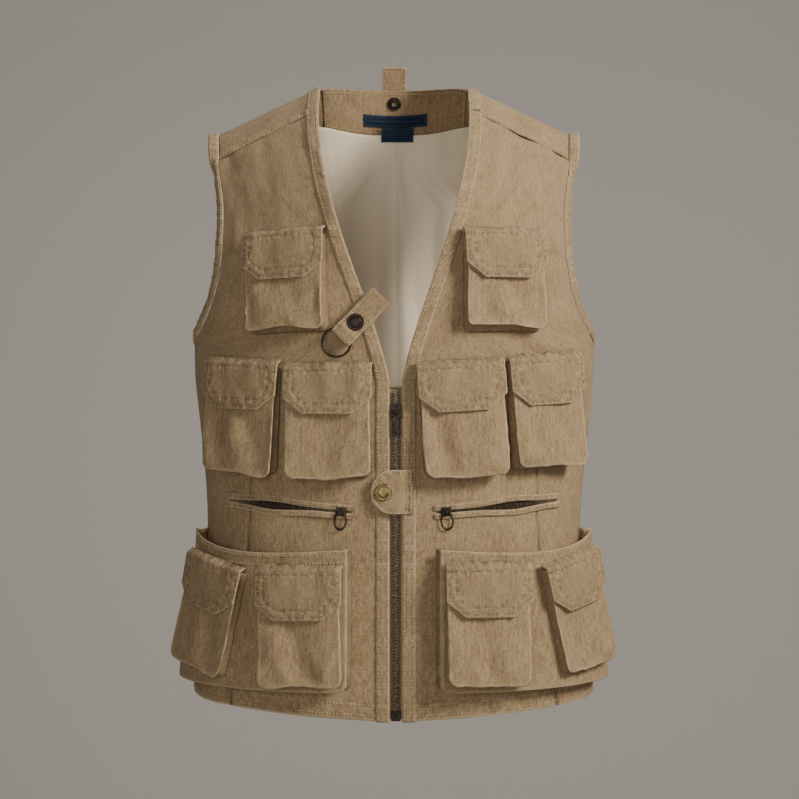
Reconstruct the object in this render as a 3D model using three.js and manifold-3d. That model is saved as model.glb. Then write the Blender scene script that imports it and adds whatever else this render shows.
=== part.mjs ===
// A sleeveless fishing vest with ten flapped bellows pockets, in millimetres.
// +X is the wearer's left, -Y is the front, +Z is up. The vest keeps the shape of the body that
// wears it: every cloth piece is a slab that follows one round body form, and lies a stated
// distance proud of it. The origin is the top of the hollow in the hanging loop at the back neck.
// A mesh that moves carries its joint's axis in userData.axis, before the vest is moved there.
import * as THREE from "three";
import { mergeVertices } from "three/addons/utils/BufferGeometryUtils.js";
import Module from "manifold-3d";

const wasm = await Module();
wasm.setup();

// ---- Driving dimensions -------------------------------------------------------------------

// Body form. Heights are above the hem at the centre front.
const WAIST_Z = 167;
const UNDERARM_Z = 334;
const BLADE_Z = 400;
const SHOULDER_TIP_Z = 533;
const SHOULDER_SLOPE = 0.47;
const SHOULDER_HALF = 166;
const NECK_HALF = 70;
const NAPE_RISE = 70;
const HEM_HALF = 188;
const WAIST_HALF = 175;
const CHEST_HALF = 187;
const FRONT_DEPTH = 115;
const HEM_BACK_DEPTH = 106;
const WAIST_BACK_DEPTH = 86;
const BLADE_BACK_DEPTH = 108;
const NAPE_BACK_DEPTH = 82;
const TOP_Z = 620;
const SECTION_POWER = 2.3;
const FRONT_ROLL = 172;
const BACK_ROLL = 110;
const ROLL_POWER = 0.75;

// Outline of the cloth.
const HEM_SIDE_RISE = 10;
const V_POINT_Z = 298;
const V_TOP_Z = 560;
const V_POWER = 1.3;
const ARMHOLE_HALF = 154;
const ARMHOLE_CURVE = 112;
const YOKE_FRONT_DROP = 26;
const YOKE_BACK_Z = 468;
const BACK_NECK_Z = 592;
const ZIP_X = 2;
const ZIP_OPENING = 11;

// Cloth, and how proud of the form each layer lies.
const CLOTH = 1.5;
const THIN_CLOTH = 0.9;
const GAP = 0.4;
const SEAM_GAP = 0.6;
const BAND = { width: 12, low: 2.3 };
const BINDING = { width: 10, low: 2.6 };
const FACING = { height: 44, set: 1, inset: 7 };
const LINING = { set: 3.6, frontTurn: 0.34, hem: 14, inset: 38, ridgeClear: 70, neckHalf: 58 };

// Pockets. A flap's top edge is centred on the pocket's place.
const POCKET_WALL = 1.2;
const MOUTH_DROP = 6;
const MOUTH_DEPTH = 6;
const FLAP = { cloth: 1.4, gap: 0.9, overhang: 2, corner: 17, cornerRise: 0.8, rise: 5, rows: 5 };
const CHEST_POCKET = { width: 73, height: 90, flap: 46, depth: 13 };
const MID_POCKET = { width: 74, height: 102, flap: 45, depth: 15 };
const HIP_POCKET = { width: 74, height: 104, flap: 47, depth: 12 };
const SIDE_POCKET = { width: 72, height: 102, flap: 46, depth: 9 };
const PATCH = { topZ: 152, bottomZ: 27, topDepth: 11, bottomDepth: 15, innerX: 37, outerTurn: 1.36 };

// Zip fasteners.
const CHAIN = { width: 6.2, thick: 2.2, proud: 1.1, bottom: 10.4, top: 292 };
const TAPE = { width: 13, thick: 0.7, clear: 1.7, back: 1.3, end: 2 };
const SLIDER = { width: 9.5, length: 12, plate: 1.1, clear: 0.3, z: 273 };
const BAIL = { reach: 3, width: 1.8, opening: 2.4, wall: 0.8 };
const PULL = { width: 6, length: 22, thick: 1.2, eye: 3 };
const RETAINER = { width: 8.5, length: 9, thick: 3.4 };
const SLOT = { innerX: 39, innerZ: 184, outerX: 146, outerZ: 192, middle: 0.57, width: 9, proud: 0.6 };
const SLOT_CHAIN = { width: 4.6, thick: 2.2 };
const SLOT_SLIDER = { width: 8, length: 9, plate: 0.9, clear: 0.3, share: 0.06 };
const PULL_RING = { radius: 5.2, stretch: 1.5, wire: 0.7 };
const BAG = { height: 84, below: 7, inset: 3, set: 0.9 };

// Snaps, straps and labels.
const SNAP_CAP = { radius: 7.5, thick: 1.8, crown: 0.8, sides: 16 };
const SNAP_STUD = { radius: 4, clear: 0.3 };
const SNAP_POST = { radius: 6.7, hole: 2.6, thick: 1.2, set: 1.2 };
const TAB = { z: 202, height: 39, reach: 22, base: 15, foot: 7, ramp: 4, lift: 8.4, snap: 11 };
const STRAP = {
  x: 32.5, z: 350.5, turn: 0.8, width: 21, tail: 21, fold: 31, under: 27, lift: 5, cloth: 1.3,
};
const RING_FOLD = { length: 9.8, height: 4.6 };
const RING = { radius: 12.6, wire: 0.95 };
const HANGER = { width: 24, rise: 20, drop: 23, snap: 13, hollow: 5.4, cloth: 1.3, set: 1.2 };
const SIZE_LABEL = { x: 1, below: 25, width: 62, height: 11, thick: 0.5, set: 1.1 };
const CARE_LABEL = { x: 3, below: 37, width: 32, height: 14, thick: 0.5, set: 3.4 };

const SIDES = [["right", -1], ["left", 1]];

// ---- Body form ----------------------------------------------------------------------------

const smooth = (t) => t * t * (3 - 2 * t);
const clamp01 = (t) => Math.min(1, Math.max(0, t));
const lerp = THREE.MathUtils.lerp;

// Eased value through [height, value] stations.
function through(stations, z) {
  let [z0, v0] = stations[0];
  for (const [z1, v1] of stations.slice(1)) {
    if (z < z1) return lerp(v0, v1, smooth(clamp01((z - z0) / (z1 - z0))));
    [z0, v0] = [z1, v1];
  }
  return v0;
}

const halfWidth = (z) => through([[0, HEM_HALF], [WAIST_Z, WAIST_HALF], [UNDERARM_Z, CHEST_HALF]], z);

const BACK_STATIONS = [
  [0, HEM_BACK_DEPTH],
  [WAIST_Z, WAIST_BACK_DEPTH],
  [BLADE_Z, BLADE_BACK_DEPTH],
  [TOP_Z, NAPE_BACK_DEPTH],
];
const backDepth = (z) => through(BACK_STATIONS, z);

// Height of the shoulder ridge at x. Between the neck edges the form rises on into the neck.
function ridge(x) {
  const out = Math.max(Math.abs(x), NECK_HALF);
  const shoulder = SHOULDER_TIP_Z + SHOULDER_SLOPE * (SHOULDER_HALF - out);
  const inside = 1 - Math.min(1, Math.abs(x) / NECK_HALF) ** 2;
  return shoulder + (SHOULDER_SLOPE * NECK_HALF / 2) * inside + NAPE_RISE * inside ** 2;
}

// How far the form has rounded out at a drop below the ridge, from 0 to 1.
const roll = (drop, reach) => Math.sin((Math.PI / 2) * clamp01(drop / reach)) ** ROLL_POWER;

// Half depth of the form at x and z, in front of or behind the ridge.
function depthAt(x, z, front, proud) {
  const across = clamp01(Math.abs(x) / (halfWidth(z) + proud));
  const section = (1 - across ** SECTION_POWER) ** (1 / SECTION_POWER);
  const depth = (front ? FRONT_DEPTH : backDepth(z)) + proud;
  return depth * section * roll(ridge(x) + proud - z, front ? FRONT_ROLL : BACK_ROLL);
}

// Point on the form by x and height.
function skinAtX(x, z, front, proud) {
  return new THREE.Vector3(x, depthAt(x, z, front, proud) * (front ? -1 : 1), z);
}

// Share of the half width at a turn, in radians from the centre front towards +X.
const spread = (turn) => Math.sign(Math.sin(turn)) * Math.abs(Math.sin(turn)) ** (2 / SECTION_POWER);

// Point on the form by turn and height.
const skin = (turn, z, proud) =>
  skinAtX(spread(turn) * (halfWidth(z) + proud), z, Math.cos(turn) >= 0, proud);

const turnOfX = (x, z) =>
  Math.sign(x) * Math.asin(clamp01(Math.abs(x) / halfWidth(z)) ** (SECTION_POWER / 2));

// Point at a drop below the shoulder ridge; its lift off the ridge fades out by the yoke's seam.
function overShoulder(x, drop, front, proud) {
  const lift = proud * (1 - clamp01(drop / YOKE_FRONT_DROP));
  return skinAtX(x, ridge(x) - drop + lift, front, proud);
}

// ---- Outline curves -----------------------------------------------------------------------

const hemZ = (turn) => HEM_SIDE_RISE * Math.sin(turn) ** 2;
const vShare = (z) => clamp01((z - V_POINT_Z) / (V_TOP_Z - V_POINT_Z));

// Front edge of the cloth: straight up beside the zip, then along the V to the neck.
function edgeX(side, z) {
  const open = Math.sin((Math.PI / 2) * vShare(z)) ** V_POWER;
  return side * lerp(ZIP_OPENING / 2, NECK_HALF, open) + ZIP_X * (1 - vShare(z));
}

// Half width between the armholes at a height above the underarm.
function armhole(z) {
  const low = clamp01((z - UNDERARM_Z) / ARMHOLE_CURVE);
  const curveTop = UNDERARM_Z + ARMHOLE_CURVE;
  const tip = smooth(clamp01((z - curveTop) / (SHOULDER_TIP_Z - curveTop)));
  return ARMHOLE_HALF + (CHEST_HALF - ARMHOLE_HALF) * (1 - low) ** 3 + (SHOULDER_HALF - ARMHOLE_HALF) * tip;
}

const sideHalf = (z) => (z <= UNDERARM_Z ? halfWidth(z) : armhole(z));

// Turn from the centre of the front or back to the side seam or armhole.
const sideTurn = (z) => turnOfX(sideHalf(z), z) - SEAM_GAP / halfWidth(z);

const yokeFrontZ = (x) => SHOULDER_TIP_Z + SHOULDER_SLOPE * (SHOULDER_HALF - Math.abs(x)) - YOKE_FRONT_DROP;

function backNeckZ(x) {
  const share = clamp01(Math.abs(x) / NECK_HALF);
  return lerp(BACK_NECK_Z, ridge(NECK_HALF), share ** 2) - GAP;
}

// The rows of the panels, the band and the binding meet these same heights.
const PANEL_ROWS = 16;
const OVER_ROWS = 7;
const OVER_POWER = 1.4;
const stage = (share, low, bend, high) =>
  share < 0.5 ? lerp(low, bend, share * 2) : lerp(bend, high, share * 2 - 1);
const edgeRowZ = (share) => stage(share, 0, V_POINT_Z, yokeFrontZ(NECK_HALF) - SEAM_GAP);
const frontSideRowZ = (share) =>
  stage(share, HEM_SIDE_RISE, UNDERARM_Z, yokeFrontZ(SHOULDER_HALF) - SEAM_GAP);
const backRowZ = (share) => stage(share, HEM_SIDE_RISE, UNDERARM_Z, YOKE_BACK_Z - SEAM_GAP);

// ---- Solids -------------------------------------------------------------------------------

// Closed solid between two grids of points: over(i, j) outside and under(i, j) inside.
function slab(columns, rows, over, under) {
  const points = [];
  const faces = [];
  for (const side of [over, under])
    for (let j = 0; j <= rows; j++)
      for (let i = 0; i <= columns; i++) points.push(side(i / columns, j / rows));
  const at = (layer, i, j) => (layer * (rows + 1) + j) * (columns + 1) + i;
  const quad = (a, b, c, d) => faces.push(a, b, c, a, c, d);
  for (let j = 0; j < rows; j++)
    for (let i = 0; i < columns; i++) {
      quad(at(0, i, j), at(0, i + 1, j), at(0, i + 1, j + 1), at(0, i, j + 1));
      quad(at(1, i, j), at(1, i, j + 1), at(1, i + 1, j + 1), at(1, i + 1, j));
    }
  for (let i = 0; i < columns; i++) {
    quad(at(1, i, 0), at(1, i + 1, 0), at(0, i + 1, 0), at(0, i, 0));
    quad(at(0, i, rows), at(0, i + 1, rows), at(1, i + 1, rows), at(1, i, rows));
  }
  for (let j = 0; j < rows; j++) {
    quad(at(0, 0, j), at(0, 0, j + 1), at(1, 0, j + 1), at(1, 0, j));
    quad(at(1, columns, j), at(1, columns, j + 1), at(0, columns, j + 1), at(0, columns, j));
  }
  return facingOut(points, faces);
}

// Closed ring through a list of four-cornered sections.
function hoop(sections) {
  const faces = [];
  sections.forEach((section, k) => {
    const next = (k + 1) % sections.length;
    for (let c = 0; c < 4; c++) {
      const [a, b] = [k * 4 + c, k * 4 + ((c + 1) % 4)];
      const [d, e] = [next * 4 + c, next * 4 + ((c + 1) % 4)];
      faces.push(a, b, e, a, e, d);
    }
  });
  return facingOut(sections.flat(), faces);
}

// Indexed geometry whose faces are turned outwards if they point inwards.
function facingOut(points, faces) {
  let volume = 0;
  for (let k = 0; k < faces.length; k += 3) {
    const [a, b, c] = [points[faces[k]], points[faces[k + 1]], points[faces[k + 2]]];
    volume += a.dot(new THREE.Vector3().crossVectors(b, c));
  }
  const geometry = new THREE.BufferGeometry().setFromPoints(points);
  geometry.setIndex(volume < 0 ? faces.slice().reverse() : faces);
  return geometry;
}

function toSolid(geometry) {
  const bare = new THREE.BufferGeometry();
  bare.setAttribute("position", geometry.getAttribute("position"));
  bare.setIndex(geometry.getIndex());
  const merged = mergeVertices(bare, 1e-4);
  return new wasm.Manifold(new wasm.Mesh({
    numProp: 3,
    vertProperties: new Float32Array(merged.attributes.position.array),
    triVerts: new Uint32Array(merged.index.array),
  }));
}

function fromSolid(solid) {
  const mesh = solid.getMesh();
  const geometry = new THREE.BufferGeometry();
  geometry.setAttribute("position", new THREE.BufferAttribute(new Float32Array(mesh.vertProperties), 3));
  geometry.setIndex(new THREE.BufferAttribute(new Uint32Array(mesh.triVerts), 1));
  return geometry;
}

const joined = (...parts) => fromSolid(parts.map(toSolid).reduce((a, b) => a.add(b)));
const cut = (body, ...tools) =>
  fromSolid(tools.map(toSolid).reduce((left, tool) => left.subtract(tool), toSolid(body)));
const common = (a, b) => fromSolid(toSolid(a).intersect(toSolid(b)));

const box = (width, depth, height, x, y, z) =>
  new THREE.BoxGeometry(width, depth, height).translate(x, y, z);

// Moves a geometry from (along, up, out) coordinates into a place.
const inPlace = (geometry, place) => geometry.applyMatrix4(axesOf(place));

// Outline of [along, out] points, extruded along a place's up axis and centred on it.
function extruded(place, outline, hollow, width) {
  const shape = new THREE.Shape(outline.map(([a, h]) => new THREE.Vector2(a, h)));
  if (hollow) shape.holes.push(new THREE.Path(hollow.map(([a, h]) => new THREE.Vector2(a, h))));
  const geometry = new THREE.ExtrudeGeometry(shape, { depth: width, bevelEnabled: false });
  return inPlace(geometry.translate(0, 0, -width / 2).rotateX(Math.PI / 2), place);
}

// Disc whose axis points out of a place, between two heights.
function disc(place, radius, low, high, sides = SNAP_CAP.sides, crown = 1) {
  const geometry = new THREE.CylinderGeometry(radius * crown, radius, high - low, sides);
  return inPlace(geometry.translate(0, (low + high) / 2, 0).rotateX(Math.PI / 2), place);
}

const snapCap = (place, low) =>
  disc(place, SNAP_CAP.radius, low, low + SNAP_CAP.thick, SNAP_CAP.sides, SNAP_CAP.crown);

// ---- Places -------------------------------------------------------------------------------

const X_AXIS = new THREE.Vector3(1, 0, 0);
const Z_AXIS = new THREE.Vector3(0, 0, 1);
const FORWARD = new THREE.Vector3(0, -1, 0);

// A place has a point and three right-handed axes: along, up and out of the cloth.
function placeOf(at, along, out) {
  return { at, along, up: new THREE.Vector3().crossVectors(out, along), out };
}

const axesOf = (place) =>
  new THREE.Matrix4().makeBasis(place.along, place.up, place.out).setPosition(place.at);
const onPlace = (place, a, b, h) =>
  new THREE.Vector3(a, b, h).applyMatrix4(axesOf(place));

// Place on the front of the form; tilt turns it about its outward axis.
function frontPlace(x, z, proud, tilt = 0) {
  const step = 2;
  const at = skinAtX(x, z, true, proud);
  const east = skinAtX(x + step, z, true, proud).sub(skinAtX(x - step, z, true, proud)).normalize();
  const north = skinAtX(x, z + step, true, proud).sub(skinAtX(x, z - step, true, proud)).normalize();
  const out = new THREE.Vector3().crossVectors(east, north).normalize();
  return placeOf(at, east.applyAxisAngle(out, tilt), out);
}

// Height above a place's plane at which a layer of the form lies at (a, b). The layer is how
// proud it is at each height.
function skinHeight(place, a, b, layer) {
  let [inside, outside] = [-60, 50];
  for (let k = 0; k < 30; k++) {
    const middle = (inside + outside) / 2;
    const p = onPlace(place, a, b, middle);
    const proud = layer(p.z);
    const across = Math.abs(p.x) / (halfWidth(p.z) + proud);
    const within = across < 1 && -p.y < depthAt(p.x, p.z, true, proud);
    [inside, outside] = within ? [middle, outside] : [inside, middle];
  }
  return inside;
}

// ---- Body panels --------------------------------------------------------------------------

function frontPanel(side) {
  const point = (proud) => (across, share) => {
    const [edgeZ, sideZ] = [edgeRowZ(share), frontSideRowZ(share)];
    const [edge, outer] = [turnOfX(edgeX(side, edgeZ), edgeZ), side * sideTurn(sideZ)];
    const turn = lerp(edge, outer, across);
    const part = (spread(turn) - spread(edge)) / (spread(outer) - spread(edge));
    return skin(turn, lerp(edgeZ, sideZ, part), proud);
  };
  return cut(slab(9, PANEL_ROWS, point(CLOTH), point(0)), slotCutter(side));
}

// Back panel, from side seam to side seam and up to the yoke's seam.
function backPanel() {
  const point = (proud) => (across, share) => {
    const row = backRowZ(share);
    const turn = Math.PI + (1 - 2 * across) * sideTurn(row);
    const sink = (HEM_SIDE_RISE - hemZ(turn)) * clamp01(1 - share * 2);
    return skin(turn, row - sink, proud);
  };
  return slab(14, PANEL_ROWS, point(CLOTH), point(0));
}

// Yoke: the back below the neck curve, and each shoulder wrapped over to the front seam.
function yoke() {
  const middle = (proud) => (across, share) => {
    const x = lerp(-NECK_HALF - 1, NECK_HALF + 1, across);
    return skinAtX(x, lerp(YOKE_BACK_Z, backNeckZ(x), 1 - (1 - share) ** 1.5), false, proud);
  };
  const parts = [slab(12, 8, middle(CLOTH), middle(0))];
  for (const [, side] of SIDES) {
    const shoulder = (proud) => (across, share) => {
      const [x, drop, front] = shoulderRow(side, across, 2 * share - 1);
      return overShoulder(x, drop, front, proud);
    };
    parts.push(slab(5, 2 * OVER_ROWS, shoulder(CLOTH), shoulder(0)));
  }
  return joined(...parts);
}

// Place on the yoke's shoulder by share across and by over, from -1 at the back seam to 1 in front.
function shoulderRow(side, across, over) {
  const front = over > 0;
  const seamZ = front ? SHOULDER_TIP_Z - YOKE_FRONT_DROP : YOKE_BACK_Z;
  const x = side * lerp(NECK_HALF, armhole(lerp(SHOULDER_TIP_Z, seamZ, Math.abs(over))), across);
  const reach = front ? YOKE_FRONT_DROP : ridge(x) - YOKE_BACK_Z;
  return [x, reach * Math.abs(over) ** OVER_POWER, front];
}

// Facing inside the back neck.
function backNeckFacing() {
  const half = NECK_HALF - FACING.inset;
  const point = (proud) => (across, share) => {
    const x = lerp(-half, half, across);
    return skinAtX(x, lerp(BACK_NECK_Z - FACING.height, backNeckZ(x) - FACING.set, share), false, proud);
  };
  return slab(10, 4, point(-FACING.set), point(-FACING.set - THIN_CLOTH));
}

// Lining: round the sides and the back to the underarm, then up the back to the facing.
function lining() {
  const [over, under] = [-LINING.set, -LINING.set - THIN_CLOTH];
  const wrapTop = UNDERARM_Z - LINING.inset;
  const wrap = (proud) => (across, share) => {
    const turn = lerp(LINING.frontTurn, 2 * Math.PI - LINING.frontTurn, across);
    return skin(turn, lerp(hemZ(turn) + LINING.hem, wrapTop, share), proud);
  };
  const upper = (proud) => (across, share) => {
    const z = lerp(wrapTop - 2, BACK_NECK_Z - FACING.height - FACING.set - 1, share);
    const side = sideTurn(Math.min(z, YOKE_BACK_Z)) - LINING.inset / halfWidth(z);
    const rise = Math.max(0, z + LINING.ridgeClear - SHOULDER_TIP_Z) / SHOULDER_SLOPE;
    const shoulder = turnOfX(Math.max(SHOULDER_HALF - rise, LINING.neckHalf), z);
    return skin(Math.PI + (1 - 2 * across) * Math.min(side, shoulder), z, proud);
  };
  return joined(slab(22, 5, wrap(over), wrap(under)), slab(14, 7, upper(over), upper(under)));
}

// Band along the front edge: up beside the zip and the V, then over the yoke to the ridge.
function frontBand(side) {
  const rows = PANEL_ROWS + OVER_ROWS;
  const point = (proud) => (across, share) => {
    const row = share * rows;
    if (row <= PANEL_ROWS) {
      const z = edgeRowZ(row / PANEL_ROWS);
      return skinAtX(edgeX(side, z) + side * across * BAND.width, z, true, proud);
    }
    const over = (rows - row) / OVER_ROWS;
    const x = side * (NECK_HALF + across * BAND.width);
    return overShoulder(x, YOKE_FRONT_DROP * over ** OVER_POWER, true, proud);
  };
  return slab(2, rows, point(BAND.low + THIN_CLOTH), point(BAND.low));
}

// Points round an armhole's edge: up the front panel, over the yoke and down the back panel.
function armholeEdge(side, proud) {
  const points = [];
  const half = PANEL_ROWS / 2;
  for (let k = 0; k < half; k++) {
    const z = frontSideRowZ(0.5 + k / PANEL_ROWS);
    points.push(skin(side * turnOfX(sideHalf(z), z), z, proud));
  }
  for (let k = -OVER_ROWS; k <= OVER_ROWS; k++) {
    const [x, drop, front] = shoulderRow(side, 1, -k / OVER_ROWS);
    points.push(overShoulder(x, drop, front, proud));
  }
  for (let k = half - 1; k > 0; k--) {
    const z = backRowZ(0.5 + k / PANEL_ROWS);
    points.push(skin(Math.PI - side * turnOfX(sideHalf(z), z), z, proud));
  }
  return points;
}

// Binding round an armhole: a flat strip that lies inside the edge of the panels and the yoke.
function armholeBinding(side) {
  const [edge, lifted] = [armholeEdge(side, BINDING.low), armholeEdge(side, BINDING.low + 8)];
  const sections = edge.map((at, k) => {
    const before = edge[(k + edge.length - 1) % edge.length];
    const after = edge[(k + 1) % edge.length];
    const out = lifted[k].clone().sub(at).normalize();
    const way = after.clone().sub(before).normalize();
    const inward = new THREE.Vector3().crossVectors(way, out).multiplyScalar(side).normalize();
    const corner = (inset, high) => at.clone().addScaledVector(inward, inset).addScaledVector(out, high);
    const [low, high] = [0, THIN_CLOTH];
    return [corner(0, low), corner(BINDING.width, low), corner(BINDING.width, high), corner(0, high)];
  });
  return hoop(sections);
}

// ---- Zips ---------------------------------------------------------------------------------

// The main zip runs straight up a plane in front of the body, so that the slider can travel it.
const chainY = -(FRONT_DEPTH + CHAIN.proud);
const zipPlace = placeOf(new THREE.Vector3(ZIP_X, chainY, SLIDER.z), X_AXIS, FORWARD);

function zipTape(side) {
  const height = CHAIN.top - TAPE.end;
  const x = ZIP_X + side * (CHAIN.width / 2 + TAPE.clear + TAPE.width / 2);
  const y = -(FRONT_DEPTH - TAPE.thick / 2 - TAPE.back);
  return box(TAPE.width, TAPE.thick, height, x, y, TAPE.end + height / 2);
}

const zipChain = () =>
  box(CHAIN.width, CHAIN.thick, CHAIN.top - CHAIN.bottom, ZIP_X, chainY, (CHAIN.top + CHAIN.bottom) / 2);

const zipRetainer = () => box(RETAINER.width, RETAINER.thick, RETAINER.length, ZIP_X, chainY,
  CHAIN.bottom - GAP - RETAINER.length / 2);

const plateHeight = (spec, chain) => chain.thick / 2 + spec.clear + spec.plate;
const pinHeight = (spec, chain) => plateHeight(spec, chain) + BAIL.opening / 2;

// Slider: a short tube round the chain, and a bail whose arch stands upright over it.
// The chain runs along the way axis of the place.
function zipSlider(spec, chain, place, chainRunsUp) {
  const rim = (w, h) => [[-w, -h], [w, -h], [w, h], [-w, h]];
  const inner = rim(chain.width / 2 + spec.clear, chain.thick / 2 + spec.clear);
  const outer = rim(spec.width / 2, plateHeight(spec, chain));
  const upright = placeOf(place.at, place.up, place.out);
  const tube = extruded(chainRunsUp ? place : upright, outer, inner, spec.length);
  const [low, top] = [plateHeight(spec, chain), plateHeight(spec, chain) + BAIL.opening + BAIL.wall];
  const [reach, gap] = [BAIL.reach, BAIL.reach - BAIL.wall];
  const arch = [[-reach, low - 0.3], [reach, low - 0.3], [reach, top], [-reach, top]];
  const hollow = [[-gap, low], [gap, low], [gap, top - BAIL.wall], [-gap, top - BAIL.wall]];
  return joined(tube, extruded(upright, arch, hollow, BAIL.width));
}

// Tongue pull: a plate with an eye, whose top bar hangs in the bail.
function tonguePull(place) {
  const [half, bar] = [PULL.width / 2, PULL.thick / 2];
  const eye = half - PULL.thick;
  const plate = [[-half, -PULL.length], [half, -PULL.length], [half, bar], [-half, bar]];
  const hole = [[-eye, -bar - PULL.eye], [eye, -bar - PULL.eye], [eye, -bar], [-eye, -bar]];
  const at = onPlace(place, 0, 0, pinHeight(SLIDER, CHAIN));
  return extruded(placeOf(at, place.along, place.up), plate, hole, PULL.thick);
}

// Ring pull: a long loop of wire that hangs from the bail.
function ringPull(place) {
  const ring = new THREE.TorusGeometry(PULL_RING.radius, PULL_RING.wire, 6, 16);
  ring.scale(1, PULL_RING.stretch, 1);
  ring.translate(0, -PULL_RING.radius * PULL_RING.stretch, pinHeight(SLOT_SLIDER, SLOT_CHAIN));
  return inPlace(ring, place);
}

// ---- Zip pockets in the front panels ------------------------------------------------------

// The slot is an arc of one circle, so that its slider turns about one axis.
function slotArc(side) {
  const at = (share) => skinAtX(side * lerp(SLOT.innerX, SLOT.outerX, share),
    lerp(SLOT.innerZ, SLOT.outerZ, share), true, SLOT.proud);
  const [start, middle, end] = [at(0), at(SLOT.middle), at(1)];
  const [toEnd, toMiddle] = [end.clone().sub(start), middle.clone().sub(start)];
  const normal = new THREE.Vector3().crossVectors(toMiddle, toEnd);
  const centre = new THREE.Vector3().crossVectors(normal, toMiddle).multiplyScalar(toEnd.lengthSq())
    .sub(new THREE.Vector3().crossVectors(normal, toEnd).multiplyScalar(toMiddle.lengthSq()))
    .divideScalar(2 * normal.lengthSq())
    .add(start);
  const spoke = start.clone().sub(centre);
  const lastSpoke = end.clone().sub(centre);
  const axis = new THREE.Vector3().crossVectors(spoke, lastSpoke).normalize();
  return { centre, axis, spoke, sweep: spoke.angleTo(lastSpoke) };
}

// Place on the slot: along is level with the cloth to +X, up is up, and out is off the cloth.
function slotPlace(side, share) {
  const { centre, axis, spoke, sweep } = slotArc(side);
  const out = spoke.clone().normalize().applyAxisAngle(axis, sweep * share);
  const up = axis.clone().multiplyScalar(Math.sign(axis.z));
  return placeOf(centre.clone().addScaledVector(out, spoke.length()), up.clone().cross(out), out);
}

// Bar with a rectangular section along the slot, between two shares of its length.
function alongSlot(side, from, to, width, low, high) {
  const point = (h) => (share, across) =>
    onPlace(slotPlace(side, lerp(from, to, share)), 0, (across - 0.5) * width, h);
  return slab(12, 1, point(high), point(low));
}

const slotCutter = (side) => alongSlot(side, -0.02, 1.02, SLOT.width, -9, 9);
const slotChain = (side) =>
  alongSlot(side, 0, 1, SLOT_CHAIN.width, -SLOT_CHAIN.thick / 2, SLOT_CHAIN.thick / 2);

function pocketBag(side) {
  const point = (proud) => (across, share) => {
    const x = side * lerp(SLOT.innerX + BAG.inset, SLOT.outerX - BAG.inset, across);
    return skinAtX(x, lerp(SLOT.innerZ - BAG.height, SLOT.innerZ - BAG.below, share), true, proud);
  };
  return slab(7, 2, point(-BAG.set), point(-BAG.set - THIN_CLOTH));
}

// ---- Bellows pockets ----------------------------------------------------------------------

// Depth of a pocket's face above its base at b below the flap's top edge.
const faceDepth = (spec, b) =>
  lerp(MOUTH_DEPTH, spec.depth, clamp01((-b - MOUTH_DROP) / (spec.height - MOUTH_DROP)));

// Height of a pocket's face: it half follows the base across, so it bulges less than the body.
function faceHeight(place, spec, base, a, b) {
  const middle = skinHeight(place, 0, b, base);
  return lerp(middle, skinHeight(place, a, b, base), 0.5) + faceDepth(spec, b);
}

// Pocket: a tray with a front, two side gussets and a floor, open at the top.
function bellows(place, spec, base) {
  const half = spec.width / 2;
  const shell = (inset, top, sink) => {
    const bottom = -spec.height + inset;
    const at = (across, share) => [lerp(-half + inset, half - inset, across), lerp(bottom, top, share)];
    const face = (across, share) => {
      const [a, b] = at(across, share);
      return onPlace(place, a, b, faceHeight(place, spec, base, a, b) - inset);
    };
    const back = (across, share) => {
      const [a, b] = at(across, share);
      return onPlace(place, a, b, skinHeight(place, a, b, base) + GAP - sink);
    };
    return slab(3, 3, face, back);
  };
  return cut(shell(0, -MOUTH_DROP, 0), shell(POCKET_WALL, MOUTH_DROP, 4));
}

// Flap: cloth from its stitched top edge, over the pocket's mouth, to a hem with cut corners.
function flapPiece(place, spec, base) {
  const half = spec.width / 2 + FLAP.overhang;
  const stops = [-half, -half + FLAP.corner, 0, half - FLAP.corner, half];
  const hem = (a) => -spec.flap + FLAP.cornerRise * Math.max(0, Math.abs(a) - half + FLAP.corner);
  const point = (high) => (across, share) => {
    const a = stops[Math.round(across * (stops.length - 1))];
    const row = share * FLAP.rows;
    const b = row < 1 ? -FLAP.rise * row : lerp(-FLAP.rise, hem(a), (row - 1) / (FLAP.rows - 1));
    return onPlace(place, a, b, flapHeight(place, spec, base, a, b) + high);
  };
  return slab(stops.length - 1, FLAP.rows, point(FLAP.cloth), point(0));
}

// Height of a flap's underside: near the base at its stitching, then just over the pocket's face.
function flapHeight(place, spec, base, a, b) {
  const middle = skinHeight(place, 0, b, base);
  const low = lerp(middle, skinHeight(place, a, b, base), 0.4) + FLAP.gap;
  const cover = faceHeight(place, spec, base, a, b) + FLAP.gap;
  return lerp(low, Math.max(low, cover), smooth(clamp01(-b / FLAP.rise)));
}

// Patch pocket at the hip: a wide tray round the side of the body.
function patchDepth(z) {
  const share = clamp01((z - PATCH.bottomZ) / (PATCH.topZ - PATCH.bottomZ));
  return lerp(PATCH.bottomDepth, PATCH.topDepth, share);
}
const patchFace = (z) => CLOTH + GAP + patchDepth(z);
const patchBase = (z) => patchFace(z) + GAP;

function patchPocket(side) {
  const shell = (inset, top, front, back) => {
    const point = (layer) => (across, share) => {
      const z = lerp(PATCH.bottomZ + inset, top, share);
      const margin = inset / halfWidth(z);
      const turn = lerp(turnOfX(PATCH.innerX, z) + margin, PATCH.outerTurn - margin, across);
      return skin(side * turn, z, layer(z));
    };
    return slab(12, 3, point(front), point(back));
  };
  const outer = shell(0, PATCH.topZ, patchFace, () => CLOTH + GAP);
  const face = (z) => patchFace(z) - POCKET_WALL;
  const hollow = shell(POCKET_WALL * 1.3, PATCH.topZ + 9, face, () => -CLOTH);
  return cut(outer, hollow);
}

// Bellows pockets lie over the edge of the front band.
const clothBase = () => BAND.low + THIN_CLOTH;

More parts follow.
